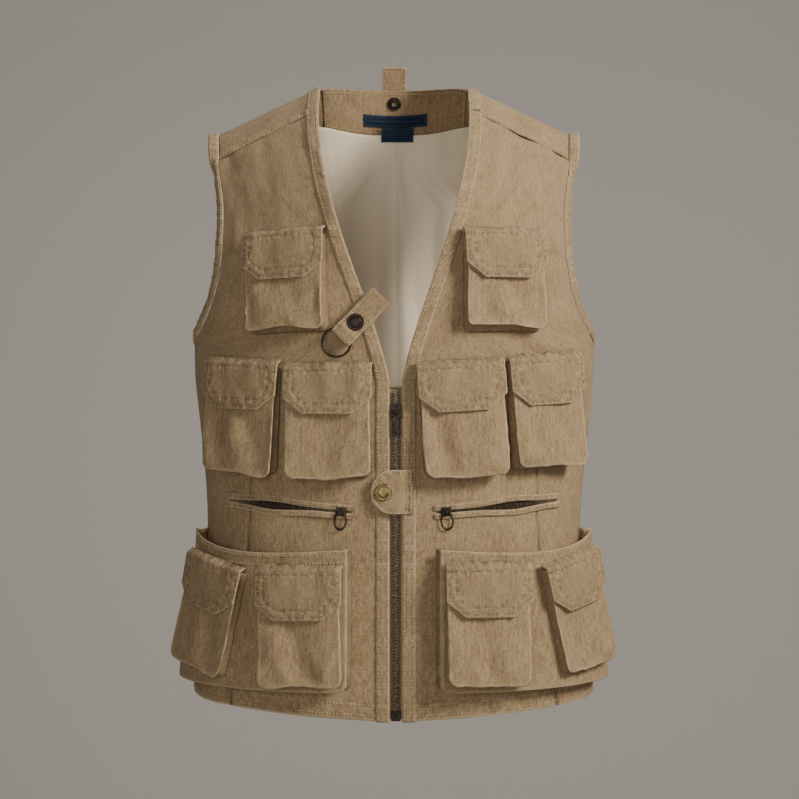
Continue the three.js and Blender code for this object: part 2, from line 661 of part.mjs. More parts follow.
// Every flapped pocket: the centre of its flap's top edge, its tilt and what it is sewn to.
const POCKETS = [
  { name: "right_chest", side: -1, x: 95.5, z: 433, tilt: 0.05, spec: CHEST_POCKET, base: clothBase },
  { name: "left_chest", side: 1, x: 95.5, z: 434, tilt: 0, spec: CHEST_POCKET, base: clothBase },
  { name: "right_mid_outer", side: -1, x: 133, z: 320, tilt: -0.05, spec: MID_POCKET, base: clothBase },
  { name: "right_mid_inner", side: -1, x: 57, z: 315.5, tilt: 0, spec: MID_POCKET, base: clothBase },
  { name: "left_mid_inner", side: 1, x: 57.5, z: 318, tilt: 0.06, spec: MID_POCKET, base: clothBase },
  { name: "left_mid_outer", side: 1, x: 133, z: 324, tilt: 0.06, spec: MID_POCKET, base: clothBase },
  { name: "right_hip_outer", side: -1, x: 157, z: 141, tilt: -0.18, spec: SIDE_POCKET, base: patchBase },
  { name: "right_hip_inner", side: -1, x: 82, z: 138, tilt: 0.03, spec: HIP_POCKET, base: patchBase },
  { name: "left_hip_inner", side: 1, x: 82, z: 141, tilt: -0.02, spec: HIP_POCKET, base: patchBase },
  { name: "left_hip_outer", side: 1, x: 157, z: 144, tilt: 0.18, spec: SIDE_POCKET, base: patchBase },
];

// ---- Waist tab ----------------------------------------------------------------------------

// The tab is sewn to the left front and arches over the zip to a snap on the right front.
const tabPlace = placeOf(new THREE.Vector3(ZIP_X, -FRONT_DEPTH, TAB.z), X_AXIS, FORWARD);
const tabSnapPlace = placeOf(onPlace(tabPlace, TAB.snap - TAB.reach, 0, 0), X_AXIS, FORWARD);
const tabFoot = BAND.low + THIN_CLOTH + GAP;

function waistTab() {
  const [end, bend, ramp] = [-TAB.reach, TAB.base - TAB.foot, TAB.base - TAB.foot - TAB.ramp];
  const over = [[TAB.base, tabFoot + CLOTH], [bend, tabFoot + CLOTH], [ramp, TAB.lift], [end, TAB.lift]];
  const under = [[end, TAB.lift - CLOTH], [ramp - 0.5, TAB.lift - CLOTH], [bend - 0.5, tabFoot],
    [TAB.base, tabFoot]];
  const strip = extruded(tabPlace, [...under, ...over], null, TAB.height);
  const radius = TAB.height / 2;
  const roundPlace = { ...tabPlace, at: onPlace(tabPlace, end + radius, 0, 0) };
  const roundEnd = disc(roundPlace, radius, 0, TAB.lift + 1, 28);
  const length = TAB.base - end - radius;
  const rest = box(length + 1, TAB.lift * 3, TAB.height + 1, ZIP_X + TAB.base + 0.5 - length / 2,
    -FRONT_DEPTH - TAB.lift, TAB.z);
  return common(strip, joined(roundEnd, rest));
}

const tabAxis = { at: onPlace(tabPlace, TAB.base, 0, tabFoot + CLOTH), way: Z_AXIS };

// ---- Ring strap ---------------------------------------------------------------------------

// The strap's axes run along it from the ring to its fold, over the right front band.
const chestPlace = frontPlace(-STRAP.x, STRAP.z, BAND.low + THIN_CLOTH);
const strapPlace = placeOf(chestPlace.at,
  chestPlace.along.clone().applyAxisAngle(chestPlace.out, STRAP.turn), chestPlace.out);
const strapTop = STRAP.lift + 2 * STRAP.cloth;
const ringHeight = STRAP.lift + STRAP.cloth;
const ringFoldMiddle = -STRAP.tail + STRAP.cloth + RING_FOLD.length / 2;

// Top layer of the strap, doubled, with the fold at its end that holds the ring.
function ringStrap() {
  const [end, start] = [-STRAP.tail, -STRAP.tail + STRAP.cloth];
  const inside = start + RING_FOLD.length;
  const half = RING_FOLD.height / 2;
  const wall = half + STRAP.cloth;
  const outline = [
    [STRAP.fold, STRAP.lift], [STRAP.fold, strapTop], [inside + 2, strapTop],
    [inside + 0.7, ringHeight + wall], [start + 1, ringHeight + wall],
    [end, ringHeight + half - 1], [end, ringHeight - half + 1],
    [start + 1, ringHeight - wall], [inside + 0.7, ringHeight - wall], [inside + 2, STRAP.lift],
  ];
  const hollow = [[start, ringHeight - half], [start, ringHeight + half],
    [inside, ringHeight + half], [inside, ringHeight - half]];
  return extruded(strapPlace, outline, hollow, STRAP.width);
}

// Lower layer, from the band that it is sewn on to the fold.
function ringStrapBase() {
  const [sewn, fold, lip] = [STRAP.fold - STRAP.under, STRAP.fold, STRAP.lift - GAP];
  const [low, high] = [GAP, GAP + STRAP.cloth];
  const outline = [[sewn, low], [fold, low], [fold, lip], [fold - STRAP.cloth, lip],
    [fold - STRAP.cloth, high], [sewn, high]];
  return extruded(strapPlace, outline, null, STRAP.width);
}

// The ring passes through the fold, its bow centred in it.
function strapRing() {
  const ring = new THREE.TorusGeometry(RING.radius, RING.wire, 6, 24);
  const edge = Math.sqrt(RING.radius ** 2 - (STRAP.width / 2) ** 2);
  return inPlace(ring.translate(ringFoldMiddle - (RING.radius + edge) / 2, 0, ringHeight), strapPlace);
}

const strapAxis = { at: onPlace(strapPlace, STRAP.fold, 0, STRAP.lift), way: strapPlace.up };
const ringAxis = { at: onPlace(strapPlace, ringFoldMiddle, 0, ringHeight), way: strapPlace.up };

// ---- Hanging loop -------------------------------------------------------------------------

// The loop's axes run up the slope of the back neck and out of it.
function hangerPlace() {
  const at = skinAtX(0, BACK_NECK_Z, false, CLOTH);
  const upSlope = at.clone().sub(skinAtX(0, BACK_NECK_Z - HANGER.drop, false, CLOTH)).normalize();
  const out = new THREE.Vector3(0, upSlope.z, -upSlope.y);
  return placeOf(at, upSlope, out);
}
const hanger = hangerPlace();
const hangerNear = HANGER.set + HANGER.cloth + HANGER.hollow;
const hangerFar = hangerNear + HANGER.cloth;
const hangerTop = HANGER.rise + HANGER.cloth;

function hangerInner() {
  const [low, top] = [-HANGER.drop, HANGER.rise - GAP];
  const [near, far] = [HANGER.set, HANGER.set + HANGER.cloth];
  return extruded(hanger, [[low, near], [top, near], [top, far], [low, far]], null, HANGER.width);
}

function hangerOuter() {
  const outline = [
    [-HANGER.drop, hangerNear], [HANGER.rise, hangerNear], [HANGER.rise, HANGER.set],
    [hangerTop, HANGER.set], [hangerTop, hangerFar], [-HANGER.drop, hangerFar],
  ];
  return extruded(hanger, outline, null, HANGER.width);
}

function hangerPost() {
  const high = -(CLOTH + FACING.set + THIN_CLOTH + SNAP_POST.set);
  const place = { ...hanger, at: onPlace(hanger, -HANGER.snap, 0, 0) };
  return cut(disc(place, SNAP_POST.radius, high - SNAP_POST.thick, high),
    disc(place, SNAP_POST.hole, high - 3, high + 3));
}

const hangerAxis = { at: onPlace(hanger, hangerTop, 0, HANGER.set), way: X_AXIS };

// Label lying on the inside of the neck facing.
function label(spec) {
  const proud = -FACING.set - THIN_CLOTH - spec.set;
  const top = BACK_NECK_Z - spec.below;
  const point = (depth) => (across, share) =>
    skinAtX(spec.x + (across - 0.5) * spec.width, top - spec.height * share, false, depth);
  return slab(6, 1, point(proud), point(proud - spec.thick));
}

// ---- Assembly -----------------------------------------------------------------------------

const finish = (color, roughness, metalness) =>
  new THREE.MeshStandardMaterial({ color, roughness, metalness });
const canvas = finish(0xa98f6d, 0.92, 0);
const satin = finish(0xd2c6ae, 0.45, 0);
const tape = finish(0xc0aa88, 0.85, 0);
const darkMetal = finish(0x2a2622, 0.4, 0.9);
const brass = finish(0x5c4a2c, 0.45, 0.9);
const labelCloth = finish(0x121f33, 0.8, 0);

const vest = new THREE.Group();

function add(name, geometry, material, axis) {
  const mesh = new THREE.Mesh(geometry, material);
  mesh.name = name;
  mesh.userData.axis = axis;
  vest.add(mesh);
}

for (const [name, side] of SIDES) {
  add(`${name}_front_panel`, frontPanel(side), canvas);
  add(`${name}_front_band`, frontBand(side), canvas);
  add(`${name}_armhole_binding`, armholeBinding(side), canvas);
  add(`${name}_zip_tape`, zipTape(side), tape);
  add(`${name}_patch_pocket`, patchPocket(side), canvas);
  add(`${name}_zip_pocket_bag`, pocketBag(side), satin);
  add(`${name}_zip_pocket_chain`, slotChain(side), darkMetal);
  const place = slotPlace(side, SLOT_SLIDER.share);
  const { centre, axis } = slotArc(side);
  add(`${name}_zip_pocket_slider`, zipSlider(SLOT_SLIDER, SLOT_CHAIN, place, false), darkMetal,
    { at: centre, way: axis });
  const pin = onPlace(place, 0, 0, pinHeight(SLOT_SLIDER, SLOT_CHAIN));
  add(`${name}_zip_pocket_pull`, ringPull(place), darkMetal, { at: pin, way: place.along.clone().negate() });
}
add("back_panel", backPanel(), canvas);
add("yoke", yoke(), canvas);
add("back_neck_facing", backNeckFacing(), canvas);
add("lining", lining(), satin);

add("zip_chain", zipChain(), darkMetal);
add("zip_retainer", zipRetainer(), darkMetal);
add("zip_slider", zipSlider(SLIDER, CHAIN, zipPlace, true), darkMetal, { at: zipPlace.at, way: Z_AXIS });
add("zip_pull", tonguePull(zipPlace), darkMetal,
  { at: onPlace(zipPlace, 0, 0, pinHeight(SLIDER, CHAIN)), way: X_AXIS.clone().negate() });

for (const { name, side, x, z, tilt, spec, base } of POCKETS) {
  const place = frontPlace(side * x, z, base(z), tilt);
  const hinge = flapHeight(place, spec, base, 0, 0) + FLAP.cloth;
  add(`${name}_pocket`, bellows(place, spec, base), canvas);
  add(`${name}_flap`, flapPiece(place, spec, base), canvas,
    { at: onPlace(place, 0, 0, hinge), way: place.along.clone().negate() });
}

add("waist_tab", waistTab(), canvas, tabAxis);
add("waist_tab_snap_cap", snapCap(tabSnapPlace, TAB.lift + SNAP_STUD.clear), brass);
add("waist_tab_snap_stud",
  disc(tabSnapPlace, SNAP_STUD.radius, tabFoot, TAB.lift - CLOTH - SNAP_STUD.clear), brass);

add("ring_strap", ringStrap(), canvas, strapAxis);
add("ring_strap_base", ringStrapBase(), canvas);
add("ring_strap_snap_cap", snapCap(strapPlace, strapTop + SNAP_STUD.clear), brass);
add("ring_strap_snap_stud", disc(strapPlace, SNAP_STUD.radius, GAP, STRAP.lift - SNAP_STUD.clear), brass);
add("ring_strap_ring", strapRing(), darkMetal, ringAxis);

add("hanging_loop_inner", hangerInner(), canvas);
add("hanging_loop_outer", hangerOuter(), canvas, hangerAxis);
add("hanging_loop_snap_cap",
  snapCap({ ...hanger, at: onPlace(hanger, -HANGER.snap, 0, 0) }, hangerFar + SNAP_STUD.clear), brass);
add("hanging_loop_snap_post", hangerPost(), darkMetal);

add("size_label", label(SIZE_LABEL), labelCloth);
add("care_label", label(CARE_LABEL), labelCloth);

// The hanging loop's hollow carries the vest, so the middle of its top is the origin.
const hollowMiddle = (HANGER.set + HANGER.cloth + hangerNear) / 2;
vest.position.copy(onPlace(hanger, HANGER.rise, 0, hollowMiddle).negate());

export default vest;
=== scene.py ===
# %% [markdown]
# # A fishing vest in cloth, thread and metal
# The vest is cut from one slubby canvas and keeps the shape of the body that wears it. The packed
# model holds the right places and joints, but its cloth is plain slabs. Each slab is replaced
# here with a fine sheet of cloth that follows the same body form, with its seams, puckers,
# folds and stitches in the mesh. One formula for the body keeps sixty pieces fitting each other.

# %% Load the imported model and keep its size
import math

import bmesh
import bpy
import numpy as np
from mathutils import Matrix, Vector


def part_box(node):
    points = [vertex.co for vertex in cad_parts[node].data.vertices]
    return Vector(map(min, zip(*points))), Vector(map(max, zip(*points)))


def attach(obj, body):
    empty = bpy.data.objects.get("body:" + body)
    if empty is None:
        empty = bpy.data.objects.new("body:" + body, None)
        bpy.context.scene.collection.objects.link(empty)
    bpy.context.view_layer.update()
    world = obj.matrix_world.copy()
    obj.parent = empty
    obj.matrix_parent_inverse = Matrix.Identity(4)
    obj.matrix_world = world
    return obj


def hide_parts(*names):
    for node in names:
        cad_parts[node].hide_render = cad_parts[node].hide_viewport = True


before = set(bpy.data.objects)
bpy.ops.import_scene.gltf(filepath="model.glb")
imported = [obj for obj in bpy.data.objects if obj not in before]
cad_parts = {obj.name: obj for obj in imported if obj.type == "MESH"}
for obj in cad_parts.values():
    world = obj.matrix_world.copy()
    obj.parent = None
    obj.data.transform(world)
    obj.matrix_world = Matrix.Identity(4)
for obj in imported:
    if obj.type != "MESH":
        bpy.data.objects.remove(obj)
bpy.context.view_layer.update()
MM = 0.001

# %% [markdown]
# The model's origin is in the hanging loop, but a vest is cut from the hem up. So every formula
# below works in millimetres above the hem, and SHIFT moves a point from there into the model.
# The front zip's chain starts a known height above the hem, so its box gives the shift.

# %% Place of the hem and the centre front
CHAIN = {"width": 6.2, "thick": 2.2, "proud": 1.1, "bottom": 10.4, "top": 292}
FRONT_DEPTH = 115
chain_low, chain_high = [np.array(corner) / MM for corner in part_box("zip_chain")]
SHIFT = np.array([0.0, (chain_low[1] + chain_high[1]) / 2 + FRONT_DEPTH + CHAIN["proud"],
                  chain_low[2] - CHAIN["bottom"]])
print("hem is", round(SHIFT[2], 1), "mm and mid plane", round(SHIFT[1], 1), "mm from the loop")

# %% [markdown]
# The body form is a rounded oval section at each height, which closes over the shoulders along a
# ridge. Numpy works on whole grids of points at once, so one call shapes a whole panel.

# %% Body form
WAIST_Z, UNDERARM_Z, BLADE_Z, SHOULDER_TIP_Z, TOP_Z = 167, 334, 400, 533, 620
SHOULDER_SLOPE, SHOULDER_HALF, NECK_HALF, NAPE_RISE = 0.47, 166, 70, 70
SECTION_POWER, FRONT_ROLL, BACK_ROLL, ROLL_POWER = 2.3, 172, 110, 0.75
HALF_WIDTHS = [(0, 188), (WAIST_Z, 175), (UNDERARM_Z, 187)]
BACK_DEPTHS = [(0, 106), (WAIST_Z, 86), (BLADE_Z, 108), (TOP_Z, 82)]
CHEST_HALF = 187


def lerp(a, b, t):
    return a + (b - a) * t


def ease(t):
    t = np.clip(t, 0, 1)
    return t * t * (3 - 2 * t)


def through(stations, z):
    value = np.full(np.shape(z), float(stations[0][1]))
    for (z0, v0), (z1, v1) in zip(stations, stations[1:]):
        value = np.where(z >= z0, lerp(v0, v1, ease((z - z0) / (z1 - z0))), value)
    return value


def half_width(z):
    return through(HALF_WIDTHS, z)


def ridge(x):
    out = np.maximum(np.abs(x), NECK_HALF)
    inside = 1 - np.minimum(1, np.abs(x) / NECK_HALF) ** 2
    neck = SHOULDER_SLOPE * NECK_HALF / 2 * inside + NAPE_RISE * inside ** 2
    return SHOULDER_TIP_Z + SHOULDER_SLOPE * (SHOULDER_HALF - out) + neck


def depth_at(x, z, front, proud):
    across = np.clip(np.abs(x) / (half_width(z) + proud), 0, 1)
    section = (1 - across ** SECTION_POWER) ** (1 / SECTION_POWER)
    depth = np.where(front, FRONT_DEPTH, through(BACK_DEPTHS, z)) + proud
    drop = (ridge(x) + proud - z) / np.where(front, FRONT_ROLL, BACK_ROLL)
    return depth * section * np.sin(np.pi / 2 * np.clip(drop, 0, 1)) ** ROLL_POWER


def skin_at_x(x, z, front, proud):
    x, z, front = np.broadcast_arrays(x, np.asarray(z, float), front)
    return np.stack([x, depth_at(x, z, front, proud) * np.where(front, -1, 1), z], axis=-1)


def spread(turn):
    return np.sign(np.sin(turn)) * np.abs(np.sin(turn)) ** (2 / SECTION_POWER)


def skin(turn, z, proud):
    turn, z = np.broadcast_arrays(turn, np.asarray(z, float))
    return skin_at_x(spread(turn) * (half_width(z) + proud), z, np.cos(turn) >= 0, proud)


def turn_of_x(x, z):
    return np.sign(x) * np.arcsin(np.clip(np.abs(x) / half_width(z), 0, 1) ** (SECTION_POWER / 2))


print("shoulder ridge at the neck", round(float(ridge(NECK_HALF)), 1), "mm above the hem")

# %% [markdown]
# The outline curves are where the scissors went: the hem, the V neck, the armholes and the seams
# of the yoke.

# %% Outline of the cloth
HEM_SIDE_RISE, V_POINT_Z, V_TOP_Z, V_POWER = 10, 298, 560, 1.3
ARMHOLE_HALF, ARMHOLE_CURVE = 154, 112
YOKE_FRONT_DROP, YOKE_BACK_Z, BACK_NECK_Z = 26, 468, 592
ZIP_X, ZIP_OPENING, SEAM_GAP, GAP = 2, 11, 0.6, 0.4
CLOTH, THIN_CLOTH = 1.5, 0.9
YOKE_NECK_Z = SHOULDER_TIP_Z + SHOULDER_SLOPE * (SHOULDER_HALF - NECK_HALF) - YOKE_FRONT_DROP


def edge_x(side, z):
    share = np.clip((z - V_POINT_Z) / (V_TOP_Z - V_POINT_Z), 0, 1)
    opened = np.sin(np.pi / 2 * share) ** V_POWER
    return side * lerp(ZIP_OPENING / 2, NECK_HALF, opened) + ZIP_X * (1 - share)


def armhole(z):
    low = np.clip((z - UNDERARM_Z) / ARMHOLE_CURVE, 0, 1)
    curve_top = UNDERARM_Z + ARMHOLE_CURVE
    tip = ease((z - curve_top) / (SHOULDER_TIP_Z - curve_top))
    flare = (CHEST_HALF - ARMHOLE_HALF) * (1 - low) ** 3
    return ARMHOLE_HALF + flare + (SHOULDER_HALF - ARMHOLE_HALF) * tip


def side_half(z):
    return np.where(z <= UNDERARM_Z, half_width(z), armhole(z))


def side_turn(z):
    return turn_of_x(side_half(z), z) - SEAM_GAP / 2 / half_width(z)


def back_neck_z(x):
    share = np.clip(np.abs(x) / NECK_HALF, 0, 1)
    return lerp(BACK_NECK_Z, ridge(NECK_HALF), share ** 2) - GAP


def hem_z(turn):
    return HEM_SIDE_RISE * np.sin(turn) ** 2


print("length at the centre front", round(float(ridge(NECK_HALF)), 1), "mm")

# %% [markdown]
# Real cloth is never smooth. Three kinds of relief cover it: slow folds, short puckers beside a
# row of stitches, where the thread has drawn the cloth up, and the rolled edge of a hem. A small
# seeded noise gives all of them, and gives them the same each time.

# %% Relief of the cloth
def noise2(x, y, seed):
    x, y = np.broadcast_arrays(x, y)
    i, j = np.floor(x), np.floor(y)
    fx, fy = ease(x - i), ease(y - j)

    def corner(a, b):
        value = np.sin((i + a) * 127.1 + (j + b) * 311.7 + seed * 74.7) * 43758.5453
        return (value - np.floor(value)) * 2 - 1
    low = lerp(corner(0, 0), corner(1, 0), fx)
    return lerp(low, lerp(corner(0, 1), corner(1, 1), fx), fy)


def rumple(x, y, seed, reach=40):
    broad = noise2(x / reach, y / reach / 1.6, seed)
    return broad + 0.45 * noise2(x / reach * 2.3, y / reach * 1.7, seed + 1)


def crease(x, y, angle, reach, seed):
    along = x * math.cos(angle) + y * math.sin(angle)
    across = y * math.cos(angle) - x * math.sin(angle)
    wave = noise2(along / reach / 3.2, across / reach, seed)
    return 1 - 2 * np.abs(wave) ** 0.7


def pucker(distance, along, seed, reach=5.0, pitch=6.5):
    drawn = noise2(along / pitch, distance / 30, seed) + 0.5 * noise2(along / pitch * 2.1, 0, seed + 3)
    return drawn * np.exp(-(distance / reach) ** 2)


def groove(distance, width=1.1):
    return -np.exp(-(distance / width) ** 2)


print("pucker height varies by", round(float(np.ptp(pucker(0, np.arange(200.0), 1))), 2))

# %% [markdown]
# ## Finishes
# The canvas is a plain weave of uneven yarn. Two long thin noises, one along the warp and one
# along the weft, make the slubs, and both the colour and the bump read them from the cloth's own
# UV map, which holds metres. A wear attribute lightens the rubbed edges, and along stitched rows it
# also paints a highlight on the crests. Another attribute, seam, darkens the seams, and it also
# holds painted shade: in stitch hollows, down pocket gussets, on the tape under the zip chain, along
# the lining's pleat and in soft patches on the lining.

# %% Helpers for meshes, objects and shader nodes
def mesh_of(name, bm):
    mesh = bpy.data.meshes.new(name)
    bm.to_mesh(mesh)
    bm.free()
    return mesh


def linked(name, data):
    made = bpy.data.objects.new(name, data)
    bpy.context.scene.collection.objects.link(made)
    return made


def finish_of(name, colour, roughness, metallic=0.0):
    material = bpy.data.materials.new(name)
    material.use_nodes = True
    shader = material.node_tree.nodes["Principled BSDF"]
    shader.inputs["Base Color"].default_value = (*colour, 1)
    shader.inputs["Roughness"].default_value = roughness
    shader.inputs["Metallic"].default_value = metallic
    return material, shader


def node(material, kind, inputs=(), **settings):
    made = material.node_tree.nodes.new(kind)
    for key, value in settings.items():
        setattr(made, key, value)
    for socket, value in dict(inputs).items():
        if isinstance(value, bpy.types.NodeSocket):
            material.node_tree.links.new(value, made.inputs[socket])
        else:
            made.inputs[socket].default_value = value
    return made


def stretched_noise(material, source, scale, detail=2.0, roughness=0.5):
    placed = node(material, "ShaderNodeMapping", {"Vector": source, "Scale": scale})
    made = node(material, "ShaderNodeTexNoise", {"Vector": placed.outputs["Vector"], "Scale": 1.0,
                                                 "Detail": detail, "Roughness": roughness})
    return made.outputs["Fac"]


def arithmetic(material, operation, a, b):
    return node(material, "ShaderNodeMath", {0: a, 1: b}, operation=operation).outputs[0]


def blended(material, share, a, b):
    made = node(material, "ShaderNodeMix", {0: share, 6: a, 7: b}, data_type="RGBA", clamp_result=True)
    return made.outputs[2]


print("node helpers ready")

# %% Canvas, satin, tape and label cloth
def woven(name, dark, light, rubbed, roughness, slub, bump, sheen, contrast=0.2):
    material, shader = finish_of(name, light, roughness)
    flat = node(material, "ShaderNodeUVMap", uv_map="cloth").outputs["UV"]
    warp = stretched_noise(material, flat, (1100, 190, 1), detail=3.0)
    weft = stretched_noise(material, flat, (330, 1100, 1), detail=2.0)
    slubs = stretched_noise(material, flat, (420, 75, 1), detail=4.0, roughness=0.7)
    patches = stretched_noise(material, flat, (45, 30, 1), detail=4.0, roughness=0.6)
    yarn = arithmetic(material, "ADD", arithmetic(material, "MULTIPLY", warp, 0.5),
                      arithmetic(material, "MULTIPLY", weft, 0.5))
    mix = arithmetic(material, "ADD", arithmetic(material, "MULTIPLY", yarn, slub),
                     arithmetic(material, "MULTIPLY", slubs, 0.55))
    mix = arithmetic(material, "ADD", mix, arithmetic(material, "MULTIPLY", patches, 0.32))
    middle = 0.5 * slub + 0.435
    level = node(material, "ShaderNodeMapRange", {0: mix, 1: middle - contrast, 2: middle + contrast})
    cloth_colour = blended(material, level.outputs[0], (*dark, 1), (*light, 1))
    # Wear: rubbed edges, plus a painted highlight on the crests along stitched rows.
    wear = node(material, "ShaderNodeAttribute", attribute_name="wear")
    # Seam: dark seam lines, plus painted shade in stitch hollows, gussets, under the zip chain and in the pleat.
    seam = node(material, "ShaderNodeAttribute", attribute_name="seam")
    worn = blended(material, wear.outputs["Fac"], cloth_colour, (*rubbed, 1))
    shaded = blended(material, seam.outputs["Fac"], worn, tuple(c * 0.35 for c in dark) + (1,))
    material.node_tree.links.new(shaded, shader.inputs["Base Color"])
    threads = stretched_noise(material, flat, (900, 900, 1), detail=1.0)
    relief = arithmetic(material, "ADD", yarn, arithmetic(material, "MULTIPLY", threads, 0.6))
    raised = node(material, "ShaderNodeBump", {"Strength": bump, "Distance": 0.0006, "Height": relief})
    material.node_tree.links.new(raised.outputs["Normal"], shader.inputs["Normal"])
    shader.inputs["Sheen Weight"].default_value = sheen
    shader.inputs["Sheen Roughness"].default_value = 0.6
    shader.inputs["Specular IOR Level"].default_value = 0.14
    return material


canvas = woven("slubbed_canvas", (0.165, 0.107, 0.053), (0.36, 0.255, 0.144), (0.52, 0.4, 0.25),
               0.92, 1.0, 0.6, 0.02)
canvas_strap = woven("strap_canvas", (0.175, 0.113, 0.057), (0.35, 0.248, 0.139), (0.5, 0.385, 0.24),
                     0.9, 0.8, 0.6, 0.02)
tape = woven("zip_tape_cloth", (0.33, 0.24, 0.14), (0.55, 0.43, 0.28), (0.6, 0.48, 0.33),
             0.9, 0.6, 0.4, 0.1)
label_cloth = woven("label_cloth", (0.004, 0.009, 0.021), (0.009, 0.02, 0.045), (0.02, 0.04, 0.08),
                    0.75, 0.5, 0.3, 0.05)
satin = woven("satin_lining", (0.7, 0.59, 0.43), (0.79, 0.685, 0.52), (0.82, 0.72, 0.56),
              0.4, 0.0, 0.05, 0.25, 0.4)
print("woven finishes", [m.name for m in (canvas, canvas_strap, tape, label_cloth, satin)])

# %% Metal, teeth and thread
def metal(name, colour, rubbed, roughness):
    material, shader = finish_of(name, colour, roughness, 1.0)
    place = node(material, "ShaderNodeTexCoord").outputs["Object"]
    scuffs = stretched_noise(material, place, (420, 420, 420), detail=5.0, roughness=0.65)
    spread_out = node(material, "ShaderNodeMapRange", {0: scuffs, 1: 0.42, 2: 0.72})
    colour_mix = blended(material, spread_out.outputs[0], (*colour, 1), (*rubbed, 1))
    material.node_tree.links.new(colour_mix, shader.inputs["Base Color"])
    rough = node(material, "ShaderNodeMapRange", {0: scuffs, 3: roughness - 0.1, 4: roughness + 0.15})
    material.node_tree.links.new(rough.outputs[0], shader.inputs["Roughness"])
    return material


dark_metal = metal("burnished_black_metal", (0.02, 0.0165, 0.0135), (0.075, 0.06, 0.045), 0.46)
brass = metal("antiqued_brass", (0.12, 0.085, 0.035), (0.33, 0.24, 0.11), 0.38)
teeth_metal = metal("zip_teeth_metal", (0.085, 0.064, 0.043), (0.3, 0.23, 0.155), 0.42)
thread, thread_shader = finish_of("sewing_thread", (0.42, 0.31, 0.175), 0.7)
twist = stretched_noise(thread, node(thread, "ShaderNodeTexCoord").outputs["Object"], (900, 900, 900))
thread.node_tree.links.new(
    blended(thread, twist, (0.33, 0.235, 0.125, 1), (0.5, 0.38, 0.225, 1)), thread_shader.inputs["Base Color"])
print("metals and thread ready")

# %% [markdown]
# ## Sheets of cloth
# A sheet is a fine grid, laid out flat in millimetres first, as on the cutting table. Its base
# says where each flat point lies on the body, and its relief how far the cloth stands off there.
# The flat grid, in metres, also becomes the UV map, so the weave runs straight on every piece.
# The size of each sheet is measured from its base, before any relief, and kept in flat_sizes. A
# declaration takes no width under 10 mm, so the four zip-pocket welts, 5.5 mm wide, and the two
# armhole bindings, 10 mm wide, are declared 10.1 mm wide. Their measured areas are the true ones,
# but only the width and the length are kept.

# %% Sheet of cloth
def away_from_body(points):
    middle = np.stack([points[..., 0] * 0, points[..., 1] * 0, np.clip(points[..., 2], 60, 470)], axis=-1)
    return points - middle


def forward(points):
    return np.array([0.0, -1.0, 0.0])


class Sheet:
    def __init__(self, base, relief=None, away=away_from_body):
        self.base, self.relief, self.away = base, relief, away

    def at(self, p, q, lift=0.0):
        p, q = np.broadcast_arrays(np.asarray(p, float), np.asarray(q, float))
        points = self.base(p, q)
        across = self.base(p + 0.4, q) - self.base(p - 0.4, q)
        along = self.base(p, q + 0.4) - self.base(p, q - 0.4)
        normals = np.cross(across, along)
        normals /= np.maximum(np.linalg.norm(normals, axis=-1, keepdims=True), 1e-9)
        side = 1 if np.mean(np.sum(normals * self.away(points), axis=-1)) > 0 else -1
        normals = normals * side
        height = lift + (self.relief(p, q) if self.relief else 0)
        return points + normals * np.reshape(height + p * 0, p.shape)[..., None], normals, side


def flat_size(points):
    rows = np.linalg.norm(np.diff(points, axis=1), axis=-1)
    columns = np.linalg.norm(np.diff(points, axis=0), axis=-1)
    cross = np.cross(points[1:, :-1] - points[:-1, :-1], points[:-1, 1:] - points[:-1, :-1])
    cross2 = np.cross(points[1:, 1:] - points[1:, :-1], points[1:, 1:] - points[:-1, 1:])
    area = (np.linalg.norm(cross, axis=-1).sum() + np.linalg.norm(cross2, axis=-1).sum()) / 2
    return rows.sum(axis=1).max() * MM, columns.sum(axis=0).max() * MM, area * MM * MM


def lay_grid(name, sheet, outline, size, step, tone=None):
    columns, rows = [max(2, round(length / step)) for length in size]
    bm = bmesh.new()
    bmesh.ops.create_grid(bm, x_segments=columns, y_segments=rows, size=0.5)
    mesh = mesh_of(name, bm)
    flat = np.empty(len(mesh.vertices) * 3)
    mesh.vertices.foreach_get("co", flat)
    u, v = (flat.reshape(-1, 3)[:, :2] + 0.5).clip(0, 1).T
    p, q = outline(u, v)
    points, _, side = sheet.at(p, q)
    mesh.vertices.foreach_set("co", ((points + SHIFT) * MM).ravel())
    corners = np.empty(len(mesh.loops), int)
    mesh.loops.foreach_get("vertex_index", corners)
    uv = mesh.uv_layers.new(name="cloth")
    uv.data.foreach_set("uv", (np.stack([p, q], axis=-1) * MM)[corners].ravel())
    # The wear attribute holds rubbed wear and painted highlight, the seam attribute dark seams and painted shade.
    for key in ("wear", "seam"):
        values = np.zeros(len(u)) if tone is None else np.broadcast_to(tone(p, q)[key == "seam"], u.shape)
        mesh.attributes.new(key, "FLOAT", "POINT").data.foreach_set("value", np.clip(values, 0, 1))
    if side < 0:
        mesh.flip_normals()
    mesh.shade_smooth()
    return linked(name, mesh)


def thicken(piece, thick):
    wall = piece.modifiers.new("wall", "SOLIDIFY")
    wall.thickness, wall.offset = thick * MM, -1


LEAST_WIDTH = 0.0101
flat_sizes = {}


def cut_size(sheet, outline):
    v, u = np.meshgrid(np.linspace(0, 1, 60), np.linspace(0, 1, 60), indexing="ij")
    return flat_size(sheet.base(*outline(u, v)))


def cloth_piece(name, sheet, outline, size, step, thick, body="garment", stands_for=(),
                finish=None, tone=None):
    piece = lay_grid(name, sheet, outline, size, step, tone)
    piece.data.materials.append(finish or canvas)
    thicken(piece, thick)
    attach(piece, body)
    if stands_for:
        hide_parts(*stands_for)
    width, length, area = cut_size(sheet, outline)
    width = max(width, LEAST_WIDTH)
    flat_sizes[name] = (round(width, 3), round(length, 3))
    return piece


# %% [markdown]
# ## Stitches
# A topstitch is a short raised grain of thread. A row follows a line drawn on the flat cloth, is
# placed on the finished surface, and is made from one low sphere copied along it. Rows are kept
# for each body, so that a flap's stitches turn with the flap.

